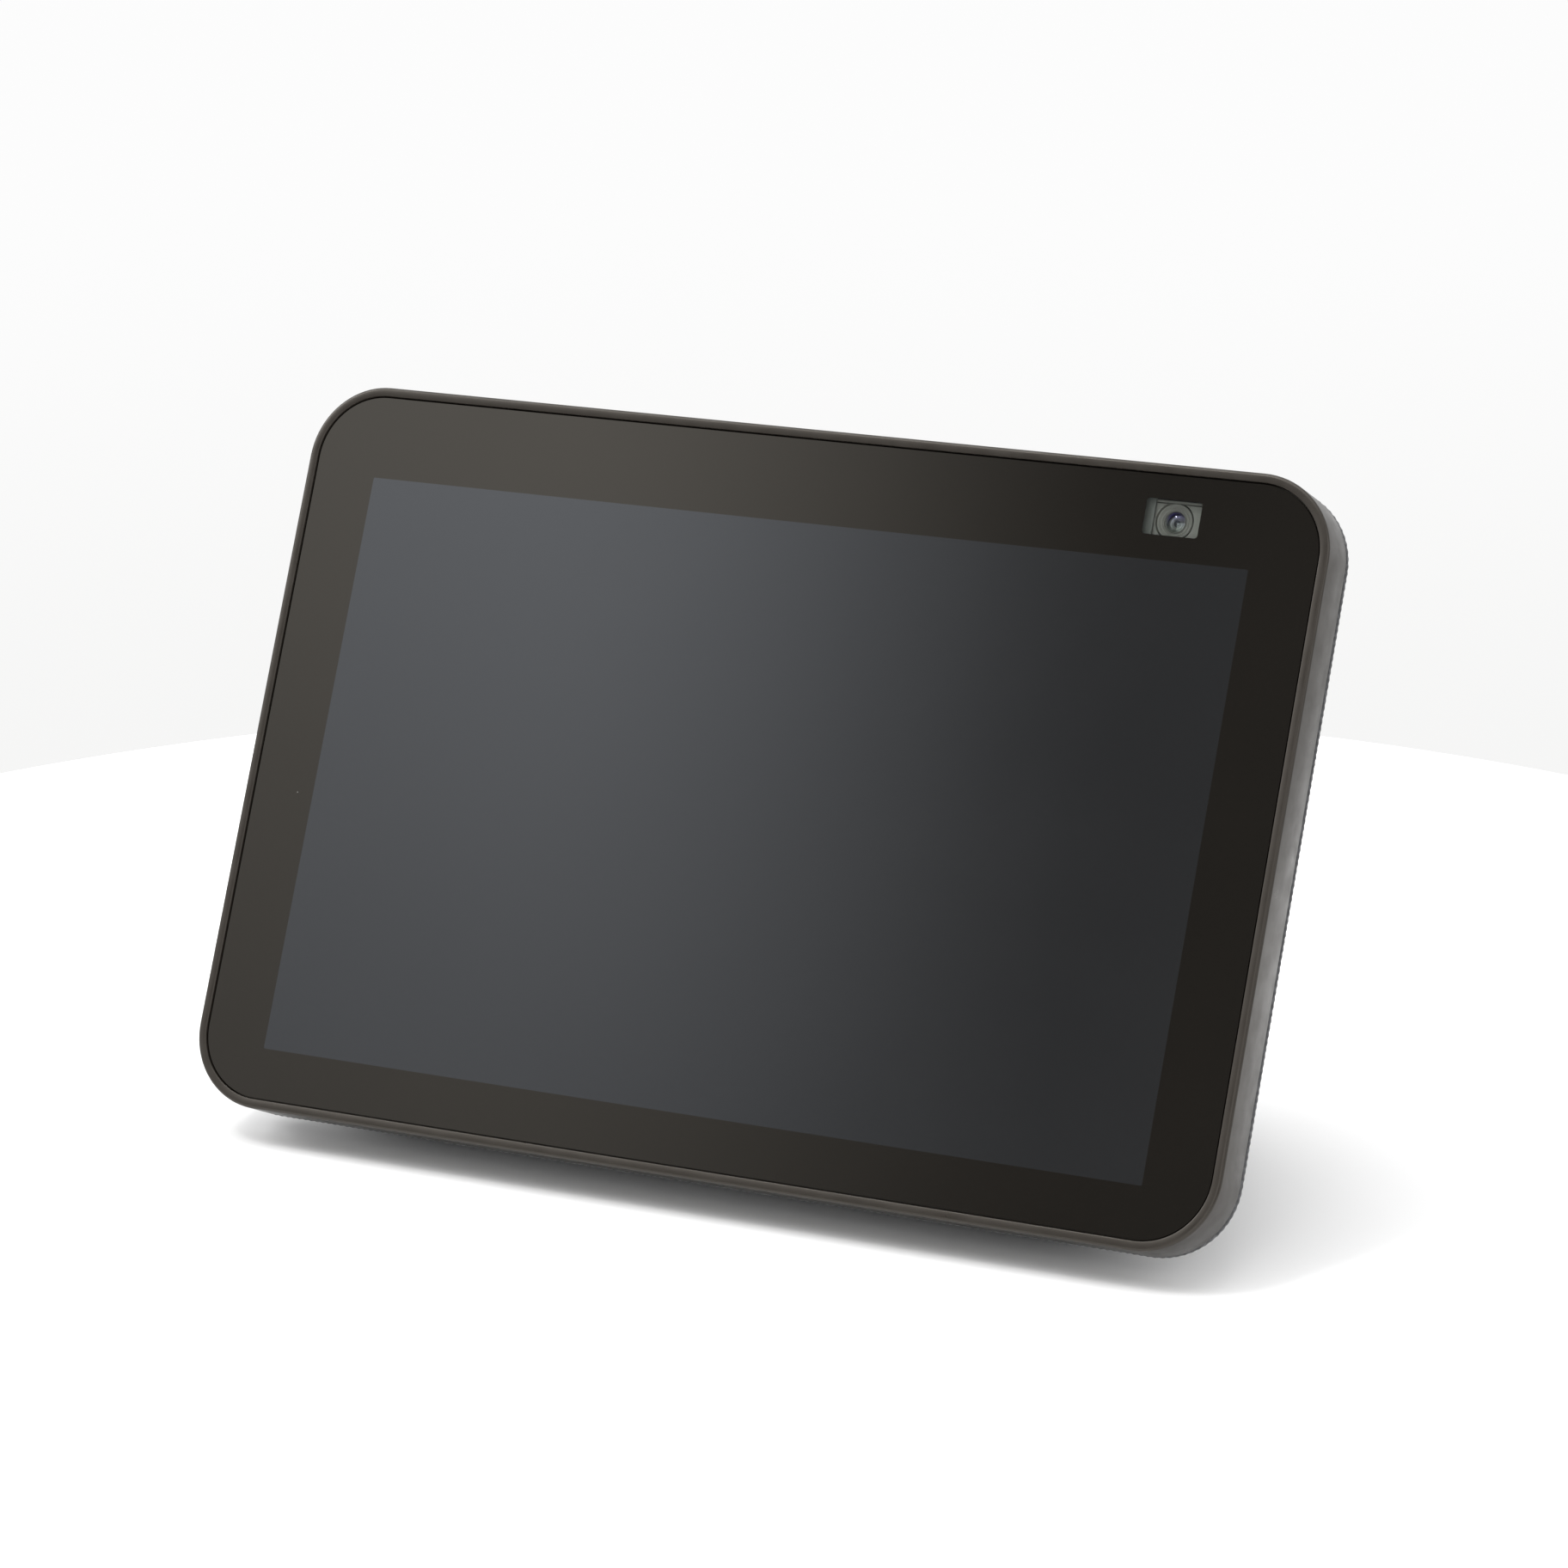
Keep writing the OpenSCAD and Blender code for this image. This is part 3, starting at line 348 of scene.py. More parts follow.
def knit():
    """Melange yarn: charcoal with lighter fibres, and painted shade that darkens each stitch at its
    root, where the surface curves inwards.
    """
    material, n = shader("knit_yarn")
    fibres = n.noise(0.22, 3, 0.7, (1, 1, 2.2))
    melange = n.noise(1.1, 2, 0.6)
    cloud = n.noise(35, 2)
    yarn = n.ramp(melange, [(0.32, (0.020, 0.021, 0.023)), (0.5, (0.044, 0.045, 0.048)),
                            (0.68, (0.105, 0.107, 0.112))])
    # Painted shade: where the surface curves inwards, at the stitch roots, the yarn colour is
    # darkened.
    pointed = n.add("ShaderNodeNewGeometry").outputs["Pointiness"]
    painted_shade_mask = n.ranged(pointed, 0.35, 1.15, 0.44, 0.55)
    painted_root_shade = n.ramp(painted_shade_mask, [(0.0, (0.2, 0.2, 0.2)), (1.0, (1, 1, 1))])
    cloud_shade = n.ramp(cloud, [(0.3, (0.9, 0.9, 0.9)), (0.7, (1, 1, 1))])
    yarn_with_painted_shade = n.mixed(1.0, yarn, painted_root_shade, "MULTIPLY")
    n.set(
        Base_Color=n.mixed(1.0, yarn_with_painted_shade, cloud_shade, "MULTIPLY"),
        Roughness=n.ranged(fibres, 0.82, 1.0),
        Sheen_Weight=0.35,
        Sheen_Roughness=0.4,
        Normal=n.bump(fibres, 0.12, 0.9),
    )
    return material


def lens_coating():
    """The clear front element: a painted reflection colour set by height, violet at the top and
    green lower down, and painted shade that makes the light it lets through darker and violet
    towards the top.
    """
    material, n = shader("coated_lens")
    split = n.add("ShaderNodeSeparateXYZ")
    n.link(n.coord, split.inputs[0])
    rise = n.ranged(split.outputs["Z"], 0, 1, (LENS_Z - 1.5) * MM, (LENS_Z + 1.7) * MM)
    # Painted shade: what the lens lets through is darkened and turned violet towards the top.
    passed_with_painted_shade = n.ramp(rise, [(0.0, (0.95, 0.97, 0.95)), (0.55, (0.86, 0.86, 0.90)),
                           (1.0, (0.50, 0.47, 0.72))])
    # Painted reflection: the coating's mirror colour is violet at the top and green lower down, set
    # by height.
    painted_reflection_tint = n.ramp(rise, [(0.0, (0.86, 0.92, 0.87)), (0.6, (0.9, 0.9, 1.0)),
                           (1.0, (0.62, 0.55, 1.0))])
    n.show(n.mirrored(n.clear(passed_with_painted_shade), 0.05, 1.6, painted_reflection_tint))
    return material


def speaker_cloth(name, color):
    """The pressed, open weave of a cone or its spider."""
    material, n = shader(name)
    weave = n.cells(0.7, "DISTANCE_TO_EDGE")
    n.set(
        Base_Color=n.ramp(n.ranged(weave, 0, 1, 0, 0.25), [(0, shade(color, 0.5)), (1, color)]),
        Roughness=n.ranged(n.noise(3), 0.75, 0.95),
        Normal=n.bump(weave, 0.08),
    )
    return material


CHARCOAL = (0.0145, 0.0120, 0.0098)
M = {
    "frame_plastic": moulded("frame_plastic_satin", CHARCOAL, 0.34, 0.22, 0.004, 0.08, 1.46,
                             (1.0, 0.93, 0.84)),
    "cover_glass": glass_ink(),
    "black_foam": elastomer("adhesive_foam", (0.018, 0.018, 0.019), 0.85, 0.4),
    "panel_black": moulded("panel_edge_black", (0.016, 0.017, 0.020), 0.25, 2.0, 0.003),
    "diffuser_white": moulded("diffuser_tray_white", (0.72, 0.73, 0.74), 0.5, 0.8, 0.01, 0.04),
    "pressed_steel": metal("pressed_steel", (0.52, 0.53, 0.54), 0.38, (1, 1, 12)),
    "screw_steel": metal("blackened_screw", (0.16, 0.16, 0.17), 0.4, grain_mm=0.3),
    "flex_circuit": printed_film("flex_circuit_amber", (0.33, 0.13, 0.035), (0.55, 0.26, 0.07)),
    "circuit_board": circuit("solder_mask_green", (0.012, 0.085, 0.035), (0.03, 0.16, 0.07)),
    "chip_black": moulded("chip_epoxy", (0.022, 0.022, 0.024), 0.6, 0.15, 0.01),
    "tinned_steel": metal("tinned_shield", (0.66, 0.66, 0.66), 0.28, (6, 1, 1)),
    "thermal_pad": elastomer("thermal_pad_grey", (0.25, 0.36, 0.44), 0.8, 0.8),
    "bare_aluminium": metal("extruded_aluminium", (0.74, 0.75, 0.76), 0.36, (10, 1, 1)),
    "copper_foil": metal("copper_foil", (0.82, 0.43, 0.25), 0.3, (1, 1, 1), 1.5, 0.02),
    "inner_plastic": moulded("inner_plastic_black", (0.024, 0.024, 0.026), 0.55, 0.4, 0.02),
    "lens_black": moulded("lens_barrel_black", (0.030, 0.031, 0.033), 0.4, 0.15, 0.004),
    "slider_plastic": moulded("slider_plastic_grey", (0.15, 0.155, 0.145), 0.45, 0.2, 0.008),
    "button_plastic": moulded("button_plastic_satin", (0.034, 0.034, 0.035), 0.42, 0.2, 0.007),
    "rubber": elastomer("foot_rubber", (0.020, 0.020, 0.021), 0.8, 0.6, 0.05),
    "knit_fabric": knit(),
    "magnet_metal": metal("plated_magnet", (0.36, 0.37, 0.38), 0.34, (1, 1, 1)),
    "cone_paper": speaker_cloth("cone_fibre", (0.035, 0.036, 0.038)),
    "spider_cloth": speaker_cloth("spider_weave", (0.42, 0.25, 0.06)),
    "socket_plastic": moulded("socket_plastic", (0.018, 0.018, 0.020), 0.5, 0.25, 0.01),
    "wire_jacket": elastomer("wire_jacket", (0.022, 0.022, 0.022), 0.45, 1.5, 0.01),
}
SHROUD = moulded("shroud_plastic_grey", (0.29, 0.28, 0.26), 0.5, 0.15, 0.004, 0.1)
MARK = moulded("printed_mark_grey", (0.34, 0.34, 0.34), 0.6, 0.3, 0.004, 0.05)
LENS = lens_coating()


# ------------------------------------------------------------------ mesh kit

def closed_mesh(name, points, faces, unit=MM):
    """A smooth mesh with its faces turned outwards, from points in millimetres."""
    mesh = bpy.data.meshes.new(name)
    mesh.from_pydata([tuple(c * unit for c in p) for p in points], [], faces)
    work = bmesh.new()
    work.from_mesh(mesh)
    bmesh.ops.recalc_face_normals(work, faces=work.faces)
    work.to_mesh(mesh)
    work.free()
    mesh.shade_smooth()
    return mesh


def added(name, data):
    """A new object in the scene."""
    obj = bpy.data.objects.new(name, data)
    bpy.context.scene.collection.objects.link(obj)
    return obj


def piece(name, points_mm, faces, place, material, body, slot, sharp=35.0):
    """A finished mesh object from points in millimetres in the frame that place gives."""
    mesh = closed_mesh(name, points_mm, faces)
    mesh.set_sharp_from_angle(angle=math.radians(sharp))
    mesh.materials.append(material)
    obj = added(name, mesh)
    obj.matrix_world = place
    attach(obj, body)
    return obj


def rounded(w, h, r, steps=12):
    """The corner points of a rounded rectangle about its centre."""
    points = []
    for k, (sx, sz) in enumerate(((1, 1), (-1, 1), (-1, -1), (1, -1))):
        for i in range(steps + 1):
            turn = math.pi / 2 * (k + i / steps)
            points.append((sx * (w / 2 - r) + r * math.cos(turn),
                           sz * (h / 2 - r) + r * math.sin(turn)))
    return points


def stadium(w, h, steps=10):
    """The same with half circles for ends, a hair short so that no two points meet."""
    return rounded(w, h, h / 2 - 0.001, steps)


def loft(rings, wrap=False, caps=(True, True)):
    """Points and faces of a skin over equal rings. It wraps onto itself or is capped."""
    size = len(rings[0])
    points = [p for ring in rings for p in ring]
    count = len(rings)
    faces = []
    for i in range(count if wrap else count - 1):
        a, b = i * size, (i + 1) % count * size
        faces += [(a + j, a + (j + 1) % size, b + (j + 1) % size, b + j) for j in range(size)]
    if not wrap and caps[0]:
        faces.append(tuple(range(size))[::-1])
    if not wrap and caps[1]:
        faces.append(tuple(range((count - 1) * size, count * size)))
    return points, faces


def joined(parts):
    """Several (points, faces) pairs as one."""
    points, faces = [], []
    for some, more in parts:
        faces += [tuple(i + len(points) for i in f) for f in more]
        points += list(some)
    return points, faces


def rolled(corner, radius, start, end, steps=5):
    """Points on an arc, for the rounded corner of a profile. Angles in degrees."""
    turns = np.radians(np.linspace(start, end, steps + 1))
    return [(corner[0] + radius * math.cos(a), corner[1] + radius * math.sin(a)) for a in turns]


def frame_loop(w, h, r, profile, cx=0.0, cz=0.0, steps=12):
    """Rings for a rounded rectangle in the x-z plane, one for each (inset, depth)."""
    return [
        [(cx + x, y, cz + z) for x, z in rounded(w - 2 * s, h - 2 * s, max(r - s, 0.05), steps)]
        for s, y in profile
    ]


def lathe(profile, cx, cz, steps=48):
    """Rings about an axis along y, one for each (radius, depth)."""
    turns = [2 * math.pi * k / steps for k in range(steps)]
    return [[(cx + r * math.cos(t), y, cz + r * math.sin(t)) for t in turns] for r, y in profile]


def cut(obj, points_mm, faces):
    """Takes a closed shape, or several that are apart, out of obj."""
    tool = added("cutter", closed_mesh("cutter", points_mm, faces))
    tool.matrix_world = obj.matrix_world
    change = obj.modifiers.new("cut", "BOOLEAN")
    change.operation = "DIFFERENCE"
    change.solver = "EXACT"
    change.object = tool
    bpy.context.view_layer.update()
    graph = bpy.context.evaluated_depsgraph_get()
    result = bpy.data.meshes.new_from_object(obj.evaluated_get(graph), depsgraph=graph)
    obj.modifiers.remove(change)
    obj.data = result
    bpy.data.objects.remove(tool)
    result.shade_smooth()
    result.set_sharp_from_angle(angle=math.radians(30))


def upright(outline, levels, cx, cy):
    """A prism up the slab's z axis: one ring of outline(grow) for each (grow, z)."""
    return loft([[(cx + x, cy + y, z) for x, y in outline(grow)] for grow, z in levels])


# ------------------------------------------------------------------ screen slab

def make_frame():
    """The moulded ring: a flat front band, a rolled outer edge, side walls and a glass shelf."""
    front_in, shelf, shelf_back, shelf_in = WALL, 1.6, 3.1, WALL + 3.5
    profile = (
        [(0.0, 5.0), (0.0, SLAB_T - 0.3), (0.06, SLAB_T - 0.1), (0.3, SLAB_T), (front_in, SLAB_T),
         (front_in, shelf_back), (shelf_in, shelf_back), (shelf_in, shelf), (front_in, shelf),
         (front_in, 0.16), (front_in - 0.05, 0.05), (front_in - 0.16, 0.0)]
        + rolled((EDGE_R, EDGE_R), EDGE_R, -90, -180, 6)
    )
    rings = frame_loop(SLAB_W, SLAB_H, SLAB_R, profile, cz=MID_Z, steps=20)
    points, faces = loft(rings, wrap=True)
    obj = piece("slab_frame", points, faces, SLAB, M["frame_plastic"], "chassis", "frame_plastic")
    inside, top = SLAB_H - WALL - 1, SLAB_H
    chamfer = [(0.0, inside), (0.0, top - 0.28), (0.3, top + 0.02), (0.3, top + 1)]
    key_w, key_d = BUTTON_LEN + BUTTON_ROOM, BUTTON_WID + BUTTON_ROOM
    holes = [
        upright(lambda g: stadium(key_w + 2 * g, key_d + 2 * g), chamfer, k * BUTTON_GAP, BUTTON_Y)
        for k in (-1, 0, 1)
    ]
    mic_levels = [(0.0, inside), (0.0, top - 0.22), (0.22, top + 0.02), (0.22, top + 1)]
    holes += [
        upright(lambda g: stadium(MIC_D + 2 * g, MIC_D + 2 * g, 6), mic_levels, x, BUTTON_Y)
        for x in MIC_X
    ]
    middle = KNOB_X + SHUTTER_TRAVEL / 2
    holes.append(upright(
        lambda g: stadium(KNOB_LEN + SHUTTER_TRAVEL + 0.8 + 2 * g, KNOB_WID + 0.4 + 2 * g),
        [(-0.25, top - 0.7), (0.0, top - 0.45), (0.0, top - 0.2), (0.25, top + 0.02),
         (0.25, top + 1)],
        middle, BUTTON_Y))
    cut(obj, *joined(holes))
    cut(obj, *upright(lambda g: rounded(STEM_SLOT_W, STEM_SLOT_D, 0.3, 3),
                      [(0, inside), (0, top - 0.3)], middle, BUTTON_Y))
    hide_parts("bezel_frame")


def make_glass():
    """The cover glass: polished edges, an ink border, the lit area and a clear window."""
    w, h = SLAB_W - 2 * (WALL + GLASS_GAP), SLAB_H - 2 * (WALL + GLASS_GAP)
    r = SLAB_R - WALL - GLASS_GAP
    back = GLASS_SET + GLASS_T
    profile = [(0.3, GLASS_SET), (0.03, GLASS_SET), (0.0, GLASS_SET + 0.03), (0.0, back - 0.15),
               (0.12, back)]
    points, faces = loft(frame_loop(w, h, r, profile, cz=MID_Z, steps=20), caps=(False, False))
    size = len(points) // len(profile)
    active = [(x, GLASS_SET, ACTIVE_Z + z) for x, z in rounded(ACTIVE_W, ACTIVE_H, 0.25, 2)]
    window = [
        [(CAMERA_X + x, y, CAMERA_Z + z)
         for x, z in rounded(WINDOW_W + 2 * g, WINDOW_H + 2 * g, 0.6, 5)]
        for g, y in ((0.0, GLASS_SET), (WINDOW_FLARE, back))
    ]
    starts = {}
    for key, ring in (("active", active), ("front", window[0]), ("back", window[1])):
        starts[key] = (len(points), len(points) + len(ring))
        points += ring
    mesh = bmesh.new()
    verts = [mesh.verts.new([c * MM for c in p]) for p in points]
    for face in faces:
        mesh.faces.new([verts[i] for i in face])
    rims = {"outer": (0, size), "under": ((len(profile) - 1) * size, len(profile) * size), **starts}
    loops = {key: verts[a:b] for key, (a, b) in rims.items()}

    def fill(*keys):
        """Fills the face between these closed loops."""
        edges = []
        for key in keys:
            ring = loops[key]
            for a, b in zip(ring, ring[1:] + ring[:1]):
                edges.append(mesh.edges.get((a, b)) or mesh.edges.new((a, b)))
        bmesh.ops.triangle_fill(mesh, edges=edges, use_beauty=True)

    fill("outer", "active", "front")
    fill("under", "back")
    for index, key in ((1, "active"), (2, "front"), (3, "back")):
        mesh.faces.new(loops[key]).material_index = index
    bmesh.ops.recalc_face_normals(mesh, faces=mesh.faces)
    data = bpy.data.meshes.new("front_cover_glass")
    mesh.to_mesh(data)
    mesh.free()
    data.shade_smooth()
    data.set_sharp_from_angle(angle=math.radians(25))
    for material in (M["cover_glass"], glass_lit_area(), glass_clear(True), glass_clear(False)):
        data.materials.append(material)
    obj = added("front_cover_glass", data)
    obj.matrix_world = SLAB
    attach(obj, "chassis")
    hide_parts("front_glass")


# ------------------------------------------------------------------ camera

def make_camera_parts():
    """What shows in the camera window: the shroud, the stepped barrel and the coated lens."""
    seat, face, back = 3.12, 2.47, 7.9
    bore_r, lead_r = LENS_R + 0.18, LENS_R + 0.3
    plate = loft(frame_loop(12, 7.8, 0.6, [(0.0, back), (0.0, seat + 0.2), (0.2, seat)],
                            LENS_X - 0.2, CAMERA_Z - 0.55, 6))
    pad = loft(frame_loop(10.6, 6.4, 0.7, [(0.0, seat + 0.3), (0.0, face + 0.1), (0.1, face)],
                          CAMERA_X, CAMERA_Z - 0.35, 6))
    bore = loft(lathe([(lead_r, face - 1), (lead_r, face + 0.02), (bore_r, face + 0.3),
                       (bore_r, back + 1)], LENS_X, LENS_Z))
    for name, shape in (("camera_shroud", plate), ("camera_window_pad", pad)):
        shroud = piece(name, *shape, SLAB, SHROUD, "chassis", "inner_plastic")
        cut(shroud, *bore)
        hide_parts("camera_holder")

    front = 2.5
    profile = [(LENS_R, back - 0.1), (LENS_R, front + 0.12), (LENS_R - 0.1, front), (2.95, front),
               (2.55, front + 0.28), (2.5, front + 0.2), (2.38, front + 0.2), (2.05, front + 0.5),
               (2.0, front + 0.75), (1.92, front + 0.78), (1.86, front + 0.45), (1.7, front + 0.4),
               (1.62, front + 0.5), (1.1, front + 1.15), (1.02, front + 1.1), (0.92, front + 1.1),
               (0.72, front + 1.4), (0.6, front + 1.45), (0.5, front + 1.75)]
    barrel = piece("camera_barrel", *loft(lathe(profile, LENS_X, LENS_Z, 64)), SLAB, SHROUD,
                   "chassis", "lens_black")
    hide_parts("camera_lens")

    rise, rim_y, rim_r = 0.42, front + 0.45, 1.86
    bend = (rim_r ** 2 + rise ** 2) / (2 * rise)
    reach = np.linspace(rim_r, 0.1, 14)
    outside = [(r, rim_y - rise + bend - math.sqrt(bend ** 2 - r ** 2)) for r in reach]
    inside = [(r * 0.97, y + 0.12) for r, y in reversed(outside)]
    dome = loft(lathe(inside + outside, LENS_X, LENS_Z, 64), wrap=True)
    piece("camera_front_element", *dome, SLAB, LENS, "chassis", "lens_black", 60)
    deep = front + 1.35
    pupil = loft(lathe([(0.62, deep + 0.3), (0.62, deep + 0.1), (0.5, deep), (0.25, deep - 0.08)],
                       LENS_X, LENS_Z, 32))
    piece("camera_pupil", *pupil, SLAB, M["panel_black"], "chassis", "lens_black")


def make_shutter():
    """The sliding shutter: a thin blade, a stem through the slot and a ribbed knob."""
    blade_y, blade_t = 1.75, 0.4
    web_z = CAMERA_Z + 3.55
    edge = 0.08
    blade = loft(frame_loop(10.5, 8.4, 0.6,
                            [(edge, blade_y + blade_t), (0, blade_y + blade_t - edge),
                             (0, blade_y + edge), (edge, blade_y)], KNOB_X + 0.05, CAMERA_Z, 5))

    def box(x0, x1, y0, y1, z0, z1):
        """A block with rounded upright edges."""
        return upright(lambda g: rounded(x1 - x0, y1 - y0, 0.15, 3), [(0, z0), (0, z1)],
                       (x0 + x1) / 2, (y0 + y1) / 2)

    half = 2.6
    web = box(KNOB_X - half, KNOB_X + half, blade_y, BUTTON_Y + 0.75, web_z, web_z + 0.7)
    stem = box(KNOB_X - half, KNOB_X + half, BUTTON_Y - 0.75, BUTTON_Y + 0.75, web_z, SLAB_H - 0.4)
    stop = box(KNOB_X - half - 1, KNOB_X + half + 1, BUTTON_Y - 1.8, BUTTON_Y + 1.8,
               SLAB_H - WALL - 0.8, SLAB_H - WALL - 0.2)
    top = SLAB_H + 0.2
    knob = upright(lambda g: stadium(KNOB_LEN + 2 * g, KNOB_WID + 2 * g),
                   [(-0.1, SLAB_H - 0.55), (0, SLAB_H - 0.45), (0, top - 0.2), (-0.06, top - 0.06),
                    (-0.2, top)], KNOB_X, BUTTON_Y)
    ribs = [
        upright(lambda g: rounded(0.62 + 2 * g, 2.6 + 2 * g, 0.2 + g, 3),
                [(0, SLAB_H), (0, top + 0.12), (-0.08, top + 0.22), (-0.18, top + 0.25)],
                KNOB_X + i * 1.3, BUTTON_Y)
        for i in range(-2, 3)
    ]
    points, faces = joined([blade, web, stem, stop, knob, *ribs])
    obj = piece("privacy_shutter", points, faces, SLAB, M["slider_plastic"], "shutter",
                "slider_plastic")
    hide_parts("shutter_slider")


# ------------------------------------------------------------------ buttons

def make_buttons():
    """Three capsule keys with softly crowned tops and a plain printed mark on each."""
    base, top = SLAB_H - WALL - 0.8, SLAB_H + 0.6
    levels = [(0, base + 0.7), (0, top - 0.3), (-0.05, top - 0.14), (-0.16, top - 0.04),
              (-0.4, top), (-1.0, top + 0.02)]
    marks = {"mic_button": "ring", "volume_down_button": "minus", "volume_up_button": "plus"}
    for k, (node, mark) in enumerate(marks.items()):
        x = (k - 1) * BUTTON_GAP
        cap = upright(lambda g: stadium(BUTTON_LEN + 2 * g, BUTTON_WID + 2 * g), levels,
                      x, BUTTON_Y)
        flange = upright(lambda g: rounded(BUTTON_LEN + 2, 4.8, 1.6, 6),
                         [(0, base), (0, base + 0.6)], x, BUTTON_Y)
        body = node.replace("button", "key")
        key = piece(body, *joined([cap, flange]), SLAB, M["button_plastic"], body,
                    "button_plastic", 28)
        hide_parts(node)
        under, over = top - 0.1, top + 0.045
        bar = [(0, under), (0, over)]
        if mark == "ring":
            turns = [2 * math.pi * i / 40 for i in range(40)]
            rings = [[(x + r * math.cos(t), BUTTON_Y + r * math.sin(t), z) for t in turns]
                     for r, z in ((0.95, under), (0.95, over), (0.68, over), (0.68, under))]
            shapes = [loft(rings, wrap=True)]
        else:
            shapes = [upright(lambda g: rounded(1.9, 0.3, 0.1, 3), bar, x, BUTTON_Y)]
            if mark == "plus":
                for side in (-1, 1):
                    shapes.append(upright(lambda g: rounded(0.3, 0.8, 0.1, 3), bar, x,
                                          BUTTON_Y + side * 0.56))
        piece(node.replace("button", "mark"), *joined(shapes), SLAB, MARK, body, "button_plastic")


# ------------------------------------------------------------------ rear body

def curve_point(t):
    """A point (reach, height) of the body's side view, from the slab at 0 to the foot at 1."""
    weights = np.array([(1 - t) ** 3, 3 * (1 - t) ** 2 * t, 3 * (1 - t) * t * t, t ** 3])
    return weights @ CURVE


def curve_way(t):
    """The side view's direction at that point."""
    weights = np.array([3 * (1 - t) ** 2, 6 * (1 - t) * t, 3 * t * t])
    return weights @ np.diff(CURVE, axis=0)


def slice_outline(share, reach, inset, steps):
    """The body cut along one ray from the pivot, as closed (x, reach) points."""
    half = BASE_W / 2 + (SLAB_W / 2 - 0.8 - BASE_W / 2) * share * share - inset
    near = NEAR_FOOT + (NEAR_SLAB - NEAR_FOOT) * share + inset
    opened = (1 - share) ** 0.6
    corner = SLAB_R - 0.7 - inset
    rx, ry = corner + ROUNDER_ACROSS * opened, corner + ROUNDER_OUT * opened
    rn = corner + ROUNDER_NEAR * (1 - share)
    arc = np.linspace(0, math.pi / 2, steps)
    far = np.stack([half - rx + rx * np.cos(arc), reach - ry + ry * np.sin(arc)], 1)
    close = np.stack([half - rn + rn * np.cos(arc), near + rn - rn * np.sin(arc)], 1)
    flip = np.array([-1.0, 1.0])
    return np.concatenate([far, (far * flip)[::-1], close * flip, close[::-1]])


def resampled(outline, count):
    """count points at even distances around a closed outline, from its first point."""
    loop = np.concatenate([outline, outline[:1]])
    length = np.concatenate([[0], np.cumsum(np.linalg.norm(np.diff(loop, axis=0), axis=1))])
    at = np.linspace(0, length[-1], count, endpoint=False)
    return np.stack([np.interp(at, length, loop[:, k]) for k in (0, 1)], 1)


def body_ring(t, inset, count):
    """count points round the body in the slice through one point of its side view."""
    point, way = curve_point(t), curve_way(t)
    reach = np.linalg.norm(point)
    crossing = abs(point[0] * way[1] - point[1] * way[0]) / (reach * np.linalg.norm(way))
    angle = math.atan2(point[1], point[0])
    share = min(1.0, max(0.0, angle / BODY_ANGLE))
    flat = resampled(slice_outline(share, reach - inset / crossing, inset, 14), count)
    return np.stack([flat[:, 0], flat[:, 1] * math.cos(angle), flat[:, 1] * math.sin(angle)], 1)


def make_sleeve():
    """The knitted sleeve: a stitch relief outside, plain inside, open at the slab and the foot."""
    rows, size, coarse, relief = 148, 500, 4, 0.17
    ts = np.linspace(0, 1, rows + 1)
    outer = np.stack([body_ring(t, 0.1, size) for t in ts])
    along = np.gradient(outer, axis=0)
    around = (np.roll(outer, -1, 1) - np.roll(outer, 1, 1)) / 2
    normal = np.cross(around, along)
    normal /= np.maximum(np.linalg.norm(normal, axis=2, keepdims=True), 1e-9)
    centre = outer.mean(axis=(0, 1))
    normal *= np.sign(((outer - centre) * normal).sum())
    spread = np.clip(np.linalg.norm(along, axis=2), 0, 1)
    stitch = np.where((np.arange(rows + 1)[:, None] + np.arange(size)[None, :]) % 2, 1.0, -1.0)
    outer = outer + normal * (relief * stitch * spread)[:, :, None] * 0.5
    picked = range(0, rows + 1, coarse)
    small = size // coarse
    inner = np.stack([body_ring(ts[i], FABRIC_T, small) for i in picked])
    points = [tuple(p) for p in outer.reshape(-1, 3)] + [tuple(p) for p in inner.reshape(-1, 3)]
    base = (rows + 1) * size
    faces = []
    for i in range(rows):
        for j in range(size):
            a, b = i * size + j, i * size + (j + 1) % size
            faces.append((a, b, b + size, a + size))
    for i in range(len(picked) - 1):
        for j in range(small):
            a, b = base + i * small + j, base + i * small + (j + 1) % small
            faces.append((a, a + small, b + small, b))
    for row, line in ((0, 0), (rows, len(picked) - 1)):
        for k in range(small):
            here, after = base + line * small + k, base + line * small + (k + 1) % small
            for m in range(coarse):
                a, b = row * size + k * coarse + m, row * size + (k * coarse + m + 1) % size
                faces.append((a, b, here if m < coarse // 2 else after))
            faces.append((row * size + k * coarse + coarse // 2, after, here))
    obj = piece("knit_sleeve", points, faces, BODY, M["knit_fabric"], "chassis", "knit_fabric", 80)
    inside, outside = 70, 100
    port = [[(x, y, PORT_Z + z) for x, z in stadium(PORT_W + 0.3, PORT_H + 0.3)]
            for y in (inside, outside)]
    cut(obj, *loft(port))
    obj.data.set_sharp_from_angle(angle=math.radians(80))
    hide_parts("fabric_cover")


